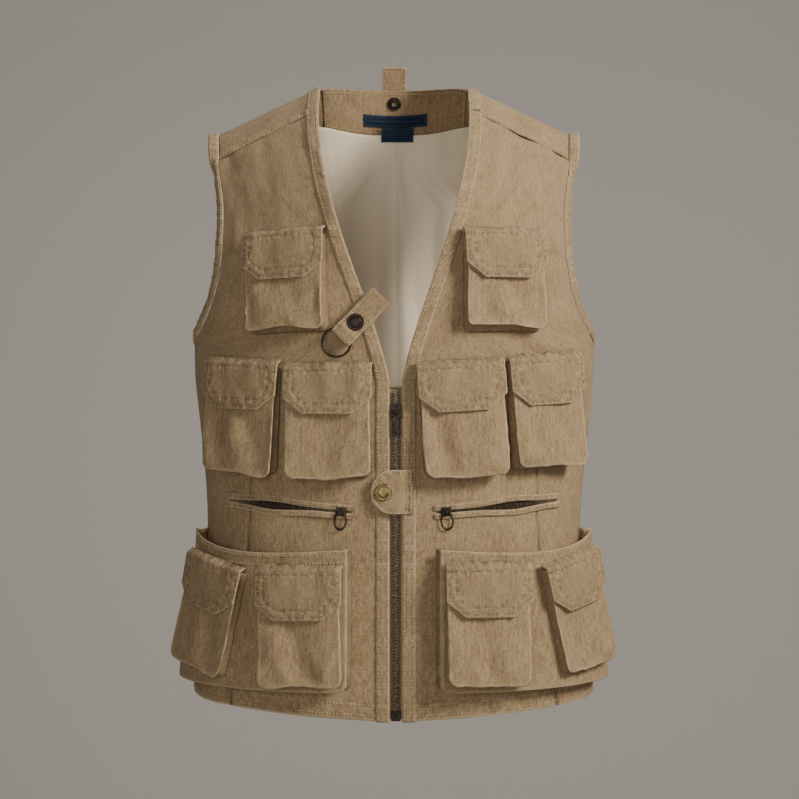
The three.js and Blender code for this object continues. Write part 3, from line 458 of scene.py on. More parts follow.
# %% Rows of stitches
def stitched(distance, along, seed):
    """Along a stitched row: pale crests of rubbed wear and painted highlight, and dark hollows of painted shade.
    """
    mottle = noise2(along / 1.3, distance / 1.5, seed)
    near = np.exp(-(distance / 1.9) ** 2)
    return near * np.clip(mottle * 0.5 + 0.05, 0, 0.28), near * np.clip(0.16 - 0.5 * mottle, 0, 0.32)


STITCH_LIFT, STITCH_INSET = 0.25, 2.6
stitch_rows = {}


def densely(path, step=0.5):
    path = np.asarray(path, float)
    length = np.r_[0, np.cumsum(np.linalg.norm(np.diff(path, axis=0), axis=1))]
    at = np.linspace(0, length[-1], max(3, int(length[-1] / step)))
    return np.stack([np.interp(at, length, path[:, k]) for k in range(2)], axis=-1)


def topstitch(sheet, path, group, body="garment", pitch=3.1):
    flat = densely(path)
    points, normals, _ = sheet.at(flat[:, 0], flat[:, 1], STITCH_LIFT)
    length = np.r_[0, np.cumsum(np.linalg.norm(np.diff(points, axis=0), axis=1))]
    middles = np.arange(pitch / 2, length[-1], pitch)

    def along(values, at):
        return np.stack([np.interp(at, length, values[:, k]) for k in range(3)], axis=-1)
    way = along(points, middles + 1) - along(points, middles - 1)
    way /= np.maximum(np.linalg.norm(way, axis=-1, keepdims=True), 1e-9)
    out = along(normals, middles)
    side = np.cross(out, way)
    grain = np.stack([way * pitch * 0.38, side * 0.5, out * 0.45], axis=-1)
    stitch_rows.setdefault((group, body), []).append((along(points, middles), grain))


def make_stitches():
    bm = bmesh.new()
    bmesh.ops.create_uvsphere(bm, u_segments=6, v_segments=4, radius=1)
    grain = mesh_of("grain", bm)
    unit = np.array([v.co for v in grain.vertices])
    faces = [list(f.vertices) for f in grain.polygons]
    total = 0
    for (group, body), rows in stitch_rows.items():
        at = np.concatenate([row[0] for row in rows])
        axes = np.concatenate([row[1] for row in rows])
        points = at[:, None, :] + np.einsum("vk,njk->nvj", unit, axes)
        mesh = bpy.data.meshes.new(f"{group}_topstitching")
        offsets = range(0, len(at) * len(unit), len(unit))
        mesh.from_pydata(((points.reshape(-1, 3) + SHIFT) * MM).tolist(), [],
                         [[k + i for i in f] for k in offsets for f in faces])
        mesh.shade_smooth()
        piece = linked(mesh.name, mesh)
        piece.data.materials.append(thread)
        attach(piece, body)
        total += len(at)
    print("stitches", total, "in", len(stitch_rows), "groups")


# %% [markdown]
# ## Body panels
# Each front panel runs from the zip and the V to the side seam. Its rows of points bend with the
# V and the armhole, so the band and the binding can lie along its edges. The back panel and the
# yoke close the body over the shoulders.

# %% Rows that the panels, bands and bindings share
def stage(share, low, bend, high):
    return np.where(share < 0.5, lerp(low, bend, share * 2), lerp(bend, high, share * 2 - 1))


def edge_row_z(share):
    return stage(share, 0, V_POINT_Z, YOKE_NECK_Z - SEAM_GAP)


def front_side_row_z(share):
    return stage(share, HEM_SIDE_RISE, UNDERARM_Z, SHOULDER_TIP_Z - YOKE_FRONT_DROP - SEAM_GAP)


def back_row_z(share):
    return stage(share, HEM_SIDE_RISE, UNDERARM_Z, YOKE_BACK_Z - SEAM_GAP)


def rectangle(size):
    return lambda u, v: (u * size[0], v * size[1])


PANEL = (186, 530)
HEM_ROWS = (4, 12)


def front_base(side, proud=CLOTH):
    def base(p, q):
        across, share = p / PANEL[0], q / PANEL[1]
        edge_z, side_z = edge_row_z(share), front_side_row_z(share)
        edge = turn_of_x(edge_x(side, edge_z), edge_z)
        outer = side * side_turn(side_z)
        turn = lerp(edge, outer, across)
        part = (spread(turn) - spread(edge)) / (spread(outer) - spread(edge))
        return skin(turn, lerp(edge_z, side_z, part), proud)
    return base


def princess_x(q):
    return 86 + 14 * np.clip(1 - q / 210, 0, 1)


def princess_share(q):
    return ease((225 - q) / 12)


def panel_relief(seed):
    def relief(p, q):
        open_cloth = np.clip(np.minimum(p, PANEL[0] - p) / 25, 0, 1)
        height = (1.5 * rumple(p, q, seed, 40) - 0.6) * open_cloth
        folds = noise2(p / 34, q / 230, seed + 9) * np.exp(-((q - 190) / 70) ** 2)
        height = height + 1.4 * folds * open_cloth
        height = height + 0.8 * pucker(q - 8, p, seed + 4, 9)
        seam = p - princess_x(q)
        return height + (0.5 * pucker(seam, q, seed + 5, 5, 9) + 0.9 * groove(seam, 1.6)) * princess_share(q)
    return relief


def panel_tone(p, q):
    seam = np.exp(-((p - princess_x(q)) / 0.9) ** 2) * 0.75 * princess_share(q)
    wear = np.clip(1.6 - q, 0, 1) * 0.8
    for row in HEM_ROWS:
        rubbed, shade = stitched(q - row, p, 40 + row)
        wear, seam = wear + rubbed, seam + shade
    return wear, seam


print("front panel", PANEL, "mm flat")

# %% Front panels, with the slit of the zip pocket
SLOT = {"inner_x": 39, "inner_z": 184, "outer_x": 146, "outer_z": 192, "middle": 0.57, "proud": 0.6}


class Place:
    """A point and three axes: along, up and out of the cloth."""

    def __init__(self, at, along, out):
        self.at, self.along, self.out = [np.asarray(v, float) for v in (at, along, out)]
        self.up = np.cross(self.out, self.along)

    def on(self, a, b, h):
        a, b, h = np.broadcast_arrays(np.asarray(a, float), b, h)
        return self.at + a[..., None] * self.along + b[..., None] * self.up + h[..., None] * self.out

    def matrix(self):
        rows = np.stack([self.along, self.up, self.out, self.at + SHIFT], axis=-1)
        return Matrix(rows.tolist() + [[0, 0, 0, 1]])


def unit(vector):
    return vector / np.linalg.norm(vector)


def turned(vector, axis, angle):
    axis = unit(axis)
    return (vector * math.cos(angle) + np.cross(axis, vector) * math.sin(angle)
            + axis * np.dot(axis, vector) * (1 - math.cos(angle)))


def slot_arc(side):
    def at(share):
        return skin_at_x(side * lerp(SLOT["inner_x"], SLOT["outer_x"], share),
                         lerp(SLOT["inner_z"], SLOT["outer_z"], share), True, SLOT["proud"])
    start, middle, end = at(0), at(SLOT["middle"]), at(1)
    to_end, to_middle = end - start, middle - start
    normal = np.cross(to_middle, to_end)
    centre = (np.cross(normal, to_middle) * to_end.dot(to_end)
              - np.cross(normal, to_end) * to_middle.dot(to_middle)) / (2 * normal.dot(normal)) + start
    spoke, last = start - centre, end - centre
    sweep = math.acos(spoke.dot(last) / np.linalg.norm(spoke) / np.linalg.norm(last))
    return centre, unit(np.cross(spoke, last)), spoke, sweep


def slot_place(side, share):
    centre, axis, spoke, sweep = slot_arc(side)
    out = turned(unit(spoke), axis, sweep * share)
    up = axis * np.sign(axis[2])
    return Place(centre + out * np.linalg.norm(spoke), np.cross(up, out), out)


def slot_points(side, share, up, high):
    shares = np.linspace(-0.1, 1.1, 61)
    places = [slot_place(side, s) for s in shares]
    stack = [np.array([getattr(p, key) for p in places]) for key in ("at", "up", "out")]
    at, rise, out = [np.stack([np.interp(share, shares, v[:, k]) for k in range(3)], -1) for v in stack]
    up, high = np.broadcast_arrays(up, high)
    return at + up[..., None] * rise + high[..., None] * out


def slit_half(share):
    """Half the slit's height: nearly shut beside the slider, open further out."""
    return 0.9 + 2.5 * np.exp(-((share - 0.6) / 0.2) ** 2)


def slit_cutter(side):
    bm = bmesh.new()
    bmesh.ops.create_grid(bm, x_segments=40, y_segments=2, size=0.5)
    low = sorted(bm.verts, key=lambda v: v.index)
    flat = np.array([v.co[:2] for v in low]) + 0.5
    half = slit_half(flat[:, 0]) * (flat[:, 1] * 2 - 1)
    shares = lerp(-0.015, 1.015, flat[:, 0])
    near, far = slot_points(side, shares, half, -9.0), slot_points(side, shares, half, 9.0)
    for vertex, point in zip(low, near):
        vertex.co = (point + SHIFT) * MM
    grown = bmesh.ops.extrude_face_region(bm, geom=bm.faces[:])["geom"]
    for vertex in [g for g in grown if isinstance(g, bmesh.types.BMVert)]:
        home = int(np.argmin(np.linalg.norm((near + SHIFT) * MM - np.array(vertex.co), axis=1)))
        vertex.co = (far[home] + SHIFT) * MM
    bmesh.ops.recalc_face_normals(bm, faces=bm.faces)
    return linked("slit", mesh_of("slit", bm))


def apply_modifiers(piece):
    graph = bpy.context.evaluated_depsgraph_get()
    done = bpy.data.meshes.new_from_object(piece.evaluated_get(graph), preserve_all_data_layers=True,
                                           depsgraph=graph)
    piece.modifiers.clear()
    piece.data = done


SIDES = (("right", -1), ("left", 1))
panels = {}
for side_name, side in SIDES:
    name = f"{side_name}_front_panel"
    sheet = panels[side_name] = Sheet(front_base(side), panel_relief(11 if side > 0 else 23))
    piece = cloth_piece(name + "_cloth", sheet, rectangle(PANEL), PANEL, 2.0, CLOTH,
                        stands_for=[name], tone=panel_tone)
    cutter = slit_cutter(side)
    slit = piece.modifiers.new("slit", "BOOLEAN")
    slit.object, slit.operation, slit.solver = cutter, "DIFFERENCE", "EXACT"
    apply_modifiers(piece)
    bpy.data.objects.remove(cutter)
    for row in HEM_ROWS:
        topstitch(sheet, [(2, row), (PANEL[0] - 1, row)], "hem")

# %% Back panel
BACK = (430, 470)


def back_base(proud=CLOTH):
    def base(p, q):
        across, share = p / BACK[0], q / BACK[1]
        row = back_row_z(share)
        turn = np.pi + (1 - 2 * across) * side_turn(row)
        sink = (HEM_SIDE_RISE - hem_z(turn)) * np.clip(1 - share * 2, 0, 1)
        return skin(turn, row - sink, proud)
    return base


def back_relief(p, q):
    inner = np.clip(np.minimum(p, BACK[0] - p) / 25, 0, 1)
    waist = np.exp(-((q - 170) / 80) ** 2)
    height = inner * (1.1 * rumple(p, q, 31, 60) + 2.2 * noise2(p / 42, q / 260, 37) * waist)
    centre = p - BACK[0] / 2
    height = height + 0.45 * pucker(q - 8, p, 33, 9) + 0.5 * pucker(BACK[1] - q, p, 35, 7)
    return height + 0.8 * groove(centre, 1.8) + 0.4 * pucker(centre, q, 36, 5, 9)


def back_tone(p, q):
    return np.clip(1.6 - q, 0, 1) * 0.8, np.exp(-((p - BACK[0] / 2) / 1.0) ** 2) * 0.7


back = Sheet(back_base(), back_relief)
cloth_piece("back_panel_cloth", back, rectangle(BACK), BACK, 2.8, CLOTH, stands_for=["back_panel"],
            tone=back_tone)
for row in HEM_ROWS:
    topstitch(back, [(1, row), (BACK[0] - 1, row)], "hem")
for row in (3, 8):
    topstitch(back, [(BACK[0] / 2 + row, 4), (BACK[0] / 2 + row, BACK[1] - 2)], "back_seam")
print("back panel", flat_sizes["back_panel_cloth"], "m")

# %% Yoke: one sheet for the back of the neck and one over each shoulder
OVER_POWER = 1.4
YOKE_MIDDLE, YOKE_SHOULDER, YOKE_ROWS = (142, 130), (98, 150), (2.5, 7.5)


def yoke_middle_base(p, q):
    x = p - NECK_HALF
    share = q / YOKE_MIDDLE[1]
    return skin_at_x(x, lerp(YOKE_BACK_Z, back_neck_z(x), share), False, CLOTH)


def shoulder_base(side, proud=CLOTH):
    def base(p, q):
        across, over = p / YOKE_SHOULDER[0], 2 * q / YOKE_SHOULDER[1] - 1
        front = over > 0
        seam_z = np.where(front, SHOULDER_TIP_Z - YOKE_FRONT_DROP, YOKE_BACK_Z)
        x = side * lerp(NECK_HALF, armhole(lerp(SHOULDER_TIP_Z, seam_z, np.abs(over))), across)
        reach = np.where(front, YOKE_FRONT_DROP, ridge(x) - YOKE_BACK_Z)
        drop = reach * np.abs(over) ** OVER_POWER
        rise = proud * (1 - np.clip(drop / YOKE_FRONT_DROP, 0, 1))
        return skin_at_x(x, ridge(x) - drop + rise, front, proud)
    return base


def yoke_relief(p, q):
    return 0.35 * rumple(p, q, 41, 35)


def shoulder_relief(p, q):
    seam = YOKE_SHOULDER[1] - q
    return 0.45 * rumple(p, q, 43, 30) + 0.55 * pucker(seam - 4, p, 44, 7) + 0.35 * pucker(q - 3, p, 45, 7)


yoke_middle = Sheet(yoke_middle_base, yoke_relief)
size = (2 * NECK_HALF, YOKE_MIDDLE[1])
cloth_piece("yoke_middle_cloth", yoke_middle, rectangle(size), size, 2.2, CLOTH, stands_for=["yoke"])
for row in YOKE_ROWS:
    topstitch(yoke_middle, [(0, row), (2 * NECK_HALF, row)], "yoke")
    topstitch(yoke_middle, [(0, YOKE_MIDDLE[1] - row), (2 * NECK_HALF, YOKE_MIDDLE[1] - row)], "yoke")
for side_name, side in SIDES:
    shoulder = Sheet(shoulder_base(side), shoulder_relief)
    cloth_piece(f"{side_name}_yoke_shoulder_cloth", shoulder, rectangle(YOKE_SHOULDER), YOKE_SHOULDER,
                1.6, CLOTH, stands_for=["yoke"])
    for row in (3, 9):
        topstitch(shoulder, [(0, YOKE_SHOULDER[1] - row), (YOKE_SHOULDER[0], YOKE_SHOULDER[1] - row)], "yoke")
    for row in YOKE_ROWS:
        topstitch(shoulder, [(0, row), (YOKE_SHOULDER[0], row)], "yoke")
print("yoke made of three sheets")

# %% [markdown]
# ## Bands and bindings
# A narrow strip is sewn over each raw edge: down the V and the zip, and round the armholes. Its
# two rows of stitches pull it into small puckers, and its edges are pressed down to the panel.

# %% Front bands
BAND = {"width": 12, "low": 2.3}
PANEL_ROWS, OVER_ROWS, BAND_LENGTH = 16, 7, 575
BAND_ROWS = (2.2, 9.6)


def over_shoulder(x, drop, front, proud):
    rise = proud * (1 - np.clip(drop / YOKE_FRONT_DROP, 0, 1))
    return skin_at_x(x, ridge(x) - drop + rise, front, proud)


def band_base(side, proud=BAND["low"] + THIN_CLOTH):
    def base(p, q):
        row = q / BAND_LENGTH * (PANEL_ROWS + OVER_ROWS * 0.6)
        z = edge_row_z(np.clip(row / PANEL_ROWS, 0, 1))
        along_edge = skin_at_x(edge_x(side, z) + side * p, z, True, proud)
        over = np.clip(1 - (row - PANEL_ROWS) / (OVER_ROWS * 0.6), 0, 1)
        shoulder = over_shoulder(side * (NECK_HALF + p), YOKE_FRONT_DROP * over ** OVER_POWER, True, proud)
        return np.where((row <= PANEL_ROWS)[..., None], along_edge, shoulder)
    return base


def strip_relief(width, rows, seed, sink=0.9):
    def relief(p, q):
        edge = np.minimum(p, width - p)
        height = 0.25 * rumple(q, p, seed, 20) - sink * np.exp(-(edge / 1.1) ** 2)
        for row in rows:
            height = height + 0.5 * pucker(p - row, q, seed + row, 3.2, 4.5) + 0.35 * groove(p - row)
        return height
    return relief


def strip_tone(width):
    def tone(p, q):
        edge = np.minimum(p, width - p)
        rubbed, shade = stitched(edge - min(STITCH_INSET, width / 4), q, 61)
        return 0.5 * np.exp(-(edge / 1.1) ** 2) + rubbed, shade
    return tone


for side_name, side in SIDES:
    sheet = Sheet(band_base(side), strip_relief(BAND["width"], BAND_ROWS, 51 + side))
    size = (BAND["width"], BAND_LENGTH)
    cloth_piece(f"{side_name}_front_band_cloth", sheet, rectangle(size), size, 1.1, THIN_CLOTH,
                stands_for=[f"{side_name}_front_band"], tone=strip_tone(BAND["width"]), finish=canvas_strap)
    for row in BAND_ROWS:
        topstitch(sheet, [(row, 1), (row, BAND_LENGTH - 1)], "front_band")
print("front bands", BAND_LENGTH, "mm long")

# %% Armhole bindings
BINDING = {"width": 10, "low": 2.6}
BINDING_ROWS = (2.0, 8.0)


def armhole_edge(side, proud, steps=40):
    shares = np.linspace(0.5, 1, steps, endpoint=False)
    z = front_side_row_z(shares)
    front = skin(side * turn_of_x(side_half(z), z), z, proud)
    over = np.linspace(1, -1, steps)
    seam_z = np.where(over > 0, SHOULDER_TIP_Z - YOKE_FRONT_DROP, YOKE_BACK_Z)
    x = side * armhole(lerp(SHOULDER_TIP_Z, seam_z, np.abs(over)))
    reach = np.where(over > 0, YOKE_FRONT_DROP, ridge(x) - YOKE_BACK_Z)
    top = over_shoulder(x, reach * np.abs(over) ** OVER_POWER, over > 0, proud)
    z = back_row_z(shares[::-1])
    back_edge = skin(np.pi - side * turn_of_x(side_half(z), z), z, proud)
    return np.concatenate([front, top, back_edge, front[:1]])


def binding_base(side):
    low = armhole_edge(side, BINDING["low"] + THIN_CLOTH)
    high = armhole_edge(side, BINDING["low"] + THIN_CLOTH + 8)
    length = np.r_[0, np.cumsum(np.linalg.norm(np.diff(low, axis=0), axis=1))]
    at = np.linspace(0, length[-1], 241)

    def resampled(values):
        return np.stack([np.interp(at, length, values[:, k]) for k in range(3)], axis=-1)
    edge, out = resampled(low), resampled(high) - resampled(low)
    out /= np.linalg.norm(out, axis=-1, keepdims=True)
    way = np.roll(edge[:-1], -2, axis=0) - np.roll(edge[:-1], 2, axis=0)
    way = np.vstack([way, way[:1]])
    inward = np.cross(way, out) * side
    for _ in range(3):
        inward[1:-1] = (inward[:-2] + inward[1:-1] * 2 + inward[2:]) / 4
    inward /= np.linalg.norm(inward, axis=-1, keepdims=True)

    def base(p, q):
        parts = [np.stack([np.interp(q, at, v[:, k]) for k in range(3)], axis=-1) for v in (edge, inward)]
        return parts[0] + parts[1] * p[..., None]
    return base, length[-1]


for side_name, side in SIDES:
    base, length = binding_base(side)
    sheet = Sheet(base, strip_relief(BINDING["width"], BINDING_ROWS, 61 + side, 1.2))
    size = (BINDING["width"], length)
    cloth_piece(f"{side_name}_armhole_binding_cloth", sheet, rectangle(size), size, 1.1, THIN_CLOTH,
                stands_for=[f"{side_name}_armhole_binding"], tone=strip_tone(BINDING["width"]),
                finish=canvas_strap)
    for row in BINDING_ROWS:
        topstitch(sheet, [(row, 1), (row, length - 1)], "armhole")
print("armhole bindings", round(length), "mm round")

# %% [markdown]
# ## Inside the vest
# The satin lining hangs in soft upright folds from the facing, with a small ease pleat down the
# middle of the back. It faces inwards, so its sheets look away from the cloth behind them.

# %% Facing, lining and the zip pockets' bags
FACING = {"height": 44, "set": 1, "inset": 7}
LINING = {"set": 3.6, "front_turn": 0.34, "hem": 14, "inset": 38, "ridge_clear": 70, "neck_half": 77}
FACING_SIZE, WRAP, UPPER = (136, 44), (880, 300), (280, 260)
WRAP_TOP = UNDERARM_Z - LINING["inset"]
PLEAT_X = 3


def towards_body(points):
    return -away_from_body(points)


def facing_base(p, q):
    x = p - FACING_SIZE[0] / 2
    z = lerp(BACK_NECK_Z - FACING["height"], back_neck_z(x) - FACING["set"], q / FACING_SIZE[1])
    return skin_at_x(x, z, False, -FACING["set"] - THIN_CLOTH)


def facing_relief(p, q):
    return (0.4 * pucker(q - 2, p, 71, 5) + 0.3 * pucker(FACING_SIZE[1] - 3 - q, p, 72, 4)
            + 0.2 * rumple(p, q, 73, 25))


facing = Sheet(facing_base, facing_relief, towards_body)
cloth_piece("back_neck_facing_cloth", facing, rectangle(FACING_SIZE), FACING_SIZE, 1.5, THIN_CLOTH,
            stands_for=["back_neck_facing"], tone=strip_tone(FACING_SIZE[0]))
for row in (3, FACING_SIZE[1] - 3.5):
    topstitch(facing, [(1, row), (FACING_SIZE[0] - 1, row)], "facing")


def wrap_base(p, q):
    turn = lerp(LINING["front_turn"], 2 * np.pi - LINING["front_turn"], p / WRAP[0])
    z = lerp(hem_z(turn) + LINING["hem"], WRAP_TOP + 1, q / WRAP[1])
    return skin(turn, z, -LINING["set"] - THIN_CLOTH)


def upper_base(p, q):
    z = lerp(WRAP_TOP - 2, BACK_NECK_Z - FACING["height"] - FACING["set"] + 1, q / UPPER[1])
    side = side_turn(np.minimum(z, YOKE_BACK_Z)) - LINING["inset"] / half_width(z)
    rise = np.maximum(0, z + LINING["ridge_clear"] - SHOULDER_TIP_Z) / SHOULDER_SLOPE
    shoulder = turn_of_x(np.maximum(SHOULDER_HALF - rise, LINING["neck_half"]), z)
    turn = np.pi + (1 - 2 * p / UPPER[0]) * np.minimum(side, shoulder)
    return skin(turn, z, -LINING["set"] - THIN_CLOTH)


def drape(centre, seed, fade_at):
    def relief(p, q):
        folds = np.maximum(0, noise2((p - centre) / 24, q / 420, seed)) ** 1.2 * 9
        folds = folds + 2.2 * noise2((p - centre) / 45 + q / 260, q / 90, seed + 2)
        pleat = p - centre - PLEAT_X
        folds = folds + 3.2 * np.exp(-(np.clip(pleat, 0, 9) / 4) ** 2) * (pleat > 0) * (pleat < 14)
        return folds * ease((fade_at - q) / 70) + 0.3
    return relief


def satin_tone(centre):
    def tone(p, q):
        pleat = p - centre - PLEAT_X
        # Painted shade: a dark line along the pleat's fold and broad, soft darker patches.
        shade = 0.3 * np.exp(-(pleat / 0.7) ** 2) + 0.1 * np.clip(noise2((p - centre) / 22, q / 160, 91), 0, 1)
        return 0 * p, shade
    return tone


for name, base, size, seed in (("lining_wrap", wrap_base, WRAP, 81), ("lining_upper", upper_base, UPPER, 81)):
    sheet = Sheet(base, drape(size[0] / 2, seed, UPPER[1] if name == "lining_upper" else 1000), towards_body)
    cloth_piece(f"{name}_satin", sheet, rectangle(size), size, 2.6, 0.5, stands_for=["lining"],
                finish=satin, tone=satin_tone(size[0] / 2))
BAG = (101, 77)
for side_name, side in SIDES:
    def bag_base(p, q, side=side):
        x = side * (SLOT["inner_x"] + 3 + p)
        return skin_at_x(x, SLOT["inner_z"] - 84 + q, True, -1.2)
    cloth_piece(f"{side_name}_zip_pocket_bag_satin", Sheet(bag_base), rectangle(BAG), BAG, 4, 0.5,
                stands_for=[f"{side_name}_zip_pocket_bag"], finish=satin)
print("lining", flat_sizes["lining_wrap_satin"], flat_sizes["lining_upper_satin"])

# %% [markdown]
# ## Bellows pockets
# A bellows pocket is one sheet: its front, and a gusset round three sides that tucks inwards so
# the pocket can swell. The flat grid is a rectangle whose two lower corners are rounded, and a
# flat point past the front's edge runs down the gusset to the vest. The front sags into upright
# folds under its flap.

# %% Where a layer of the form lies under a place
POCKET = {"wall": 1.2, "mouth_drop": 6, "mouth_depth": 6, "corner": 7, "tuck": 3.2}
FLAP = {"cloth": 1.4, "gap": 0.9, "overhang": 2, "corner": 17, "corner_rise": 0.8, "rise": 5}
CHEST = {"width": 73, "height": 90, "flap": 46, "depth": 13}
MIDDLE = {"width": 74, "height": 102, "flap": 45, "depth": 15}
HIP = {"width": 74, "height": 104, "flap": 47, "depth": 12}
SIDE = {"width": 72, "height": 102, "flap": 46, "depth": 9}
PATCH = {"top_z": 152, "bottom_z": 27, "top_depth": 11, "bottom_depth": 15, "inner_x": 37, "outer_turn": 1.36}


def front_place(x, z, proud, tilt=0.0):
    step = 2
    east = unit(skin_at_x(x + step, z, True, proud) - skin_at_x(x - step, z, True, proud))
    north = unit(skin_at_x(x, z + step, True, proud) - skin_at_x(x, z - step, True, proud))
    out = unit(np.cross(east, north))
    return Place(skin_at_x(x, z, True, proud), turned(east, out, tilt), out)


def skin_height(place, a, b, layer):
    a, b = np.broadcast_arrays(np.asarray(a, float), b)
    inside, outside = np.full(a.shape, -60.0), np.full(a.shape, 50.0)
    for _ in range(22):
        middle = (inside + outside) / 2
        point = place.on(a, b, middle)
        x, y, z = np.moveaxis(point, -1, 0)
        proud = layer(z)
        within = (np.abs(x) < half_width(z) + proud) & (-y < depth_at(x, z, True, proud))
        inside, outside = np.where(within, middle, inside), np.where(within, outside, middle)
    return inside


def patch_depth(z):
    share = np.clip((z - PATCH["bottom_z"]) / (PATCH["top_z"] - PATCH["bottom_z"]), 0, 1)
    return lerp(PATCH["bottom_depth"], PATCH["top_depth"], share)


def patch_face(z):
    return CLOTH + GAP + patch_depth(z)


def patch_layer(z):
    return patch_face(z) + GAP


def cloth_layer(z):
    return BAND["low"] + THIN_CLOTH + 0 * z


def face_height(place, spec, layer, a, b):
    middle = skin_height(place, 0, b, layer)
    swell = lerp(POCKET["mouth_depth"], spec["depth"],
                 np.clip((-b - POCKET["mouth_drop"]) / (spec["height"] - POCKET["mouth_drop"]), 0, 1))
    return lerp(middle, skin_height(place, a, b, layer), 0.5) + swell


def flap_height(place, spec, layer, a, b):
    middle = skin_height(place, 0, b, layer)
    low = lerp(middle, skin_height(place, a, b, layer), 0.4) + FLAP["gap"]
    cover = face_height(place, spec, layer, a, b) + FLAP["gap"]
    return lerp(low, np.maximum(low, cover), ease(-b / FLAP["rise"]))


print("pocket fronts stand", MIDDLE["depth"], "mm off the vest at most")

# %% Shape of a pocket and its flap
def tucked(s, t, half, floor, gusset):
    """Splits a flat point into its place on the front and its share down the gusset."""
    corner = POCKET["corner"]
    cs, ct = np.clip(s, -half + corner, half - corner), np.maximum(t, floor + corner)
    ds, dt = s - cs, t - ct
    d = np.hypot(ds, dt)
    share = np.clip((d - corner) / gusset, 0, 1)
    scale = np.where(d > corner, (corner - POCKET["tuck"] * np.sin(np.pi * share)) / np.maximum(d, 1e-6), 1)
    return cs + ds * scale, ct + dt * scale, share, d - corner


def rounded_flat(half, top, floor, gusset):
    reach = POCKET["corner"] + gusset

    def outline(u, v):
        s, t = lerp(-half - gusset, half + gusset, u), lerp(floor - gusset, top, v)
        x = np.clip(np.abs(s) - (half - POCKET["corner"]), 0, None)
        y = np.clip(floor + POCKET["corner"] - t, 0, None)
        both = (x > 0) & (y > 0)
        nx = np.where(both, x * np.sqrt(np.clip(1 - y * y / (2 * reach * reach), 0, 1)), x)
        ny = np.where(both, y * np.sqrt(np.clip(1 - x * x / (2 * reach * reach), 0, 1)), y)
        s = np.where(both, np.sign(s) * (half - POCKET["corner"] + nx), s)
        return s, np.where(both, floor + POCKET["corner"] - ny, t)
    return outline


def pocket_sheet(place, spec, layer, seed):
    half, floor = spec["width"] / 2, -spec["height"]

    def base(s, t):
        a, b, share, _ = tucked(s, t, half, floor, spec["depth"])
        down = np.clip(-b / spec["height"], 0, 1) ** 1.5 * (1 - share)
        slump = down * (0.03 * a + 1.6 * noise2(b / 34, np.tanh(a / 14), seed))
        low = skin_height(place, a, b, layer) + GAP
        high = face_height(place, spec, layer, a, b)
        return place.on(a + slump, b + down * 3.2 * noise2(a / 28, 1, seed + 1), lerp(high, low, share))

    def relief(s, t):
        _, _, share, past = tucked(s, t, half, floor, spec["depth"])
        below = ease((-t - spec["flap"] * 0.8) / 22)
        inside = np.clip(-past / 12, 0, 1)
        folds = noise2(s / 17 + t / 90, t / 70, seed) * 4.8 + 3.0 * rumple(s, t, seed + 1, 26)
        slack = 1.8 * crease(s, t, 0.9 + 0.3 * math.sin(seed), 18, seed + 5) - 0.8
        pinch = 0.5 * pucker(past + 1, s + t, seed + 2, 3.5, 7)
        return inside * below * (folds + slack) + (share < 0.5) * pinch * below
    return Sheet(base, relief, lambda points: place.out)


def pocket_tone(spec):
    def tone(s, t):
        past = tucked(s, t, spec["width"] / 2, -spec["height"], spec["depth"])[3]
        # The pale line at the fold is rubbed wear; the darkening deeper down the gusset is painted shade.
        return 0.7 * np.exp(-((past + 0.2) / 1.1) ** 2), 0.25 * np.clip(past / spec["depth"], 0, 1)
    return tone


def flap_outline(spec):
    half = spec["width"] / 2 + FLAP["overhang"]

    def outline(u, v):
        a = lerp(-half, half, u)
        rise = FLAP["corner_rise"] * np.maximum(0, np.abs(a) - half + FLAP["corner"])
        return a, -v * (spec["flap"] - rise)
    return outline


def flap_edge(spec, inset):
    """Line round the flap's two sides, cut corners and hem, inset from its edge."""
    half, rise = spec["width"] / 2 + FLAP["overhang"], FLAP["corner"] * FLAP["corner_rise"]
    lean = math.atan(FLAP["corner_rise"])
    side_shift, hem_shift = inset * math.tan((math.pi / 2 - lean) / 2), inset * math.tan(lean / 2)
    right = [(half - inset, -inset), (half - inset, -spec["flap"] + rise + side_shift),
             (half - FLAP["corner"] - hem_shift, -spec["flap"] + inset)]
    return [(-x, y) for x, y in right] + right[::-1]


def distance_to(path, s, t):
    nearest, along = np.full(np.shape(s), 1e6), np.zeros(np.shape(s))
    run = 0.0
    for (x0, y0), (x1, y1) in zip(path, path[1:]):
        length = math.hypot(x1 - x0, y1 - y0)
        share = np.clip(((s - x0) * (x1 - x0) + (t - y0) * (y1 - y0)) / length ** 2, 0, 1)
        d = np.hypot(s - x0 - share * (x1 - x0), t - y0 - share * (y1 - y0))
        along = np.where(d < nearest, run + share * length, along)
        nearest, run = np.minimum(nearest, d), run + length
    return nearest, along


FLAP_ROWS = (2.4, 8.2)


def flap_sheet(place, spec, layer, seed):
    rows = [flap_edge(spec, inset) for inset in FLAP_ROWS]
    rim = flap_edge(spec, 0.01)

    def base(a, b):
        return place.on(a, b, flap_height(place, spec, layer, a, b) + FLAP["cloth"])

    def relief(a, b):
        edge = distance_to(rim, a, b)[0]
        away_from_hem = np.clip(edge / 14, 0, 1)
        height = 1.1 * away_from_hem * rumple(a, b, seed, 18)
        height = height + 1.9 * away_from_hem * noise2(a / 15, b / 60, seed + 1)
        for k, row in enumerate(rows):
            distance, along = distance_to(row, a, b)
            height = height + 0.5 * pucker(distance, along, seed + 7 * k, 2.8, 3.2) + 0.45 * groove(distance)
        for row in FLAP_ROWS:
            height = height + 0.4 * pucker(b + row, a, seed + row, 2.8, 3.2) + 0.4 * groove(b + row)
        return height + 0.35 - 0.55 * np.exp(-(edge / 0.9) ** 2)
    return Sheet(base, relief, lambda points: place.out), rows


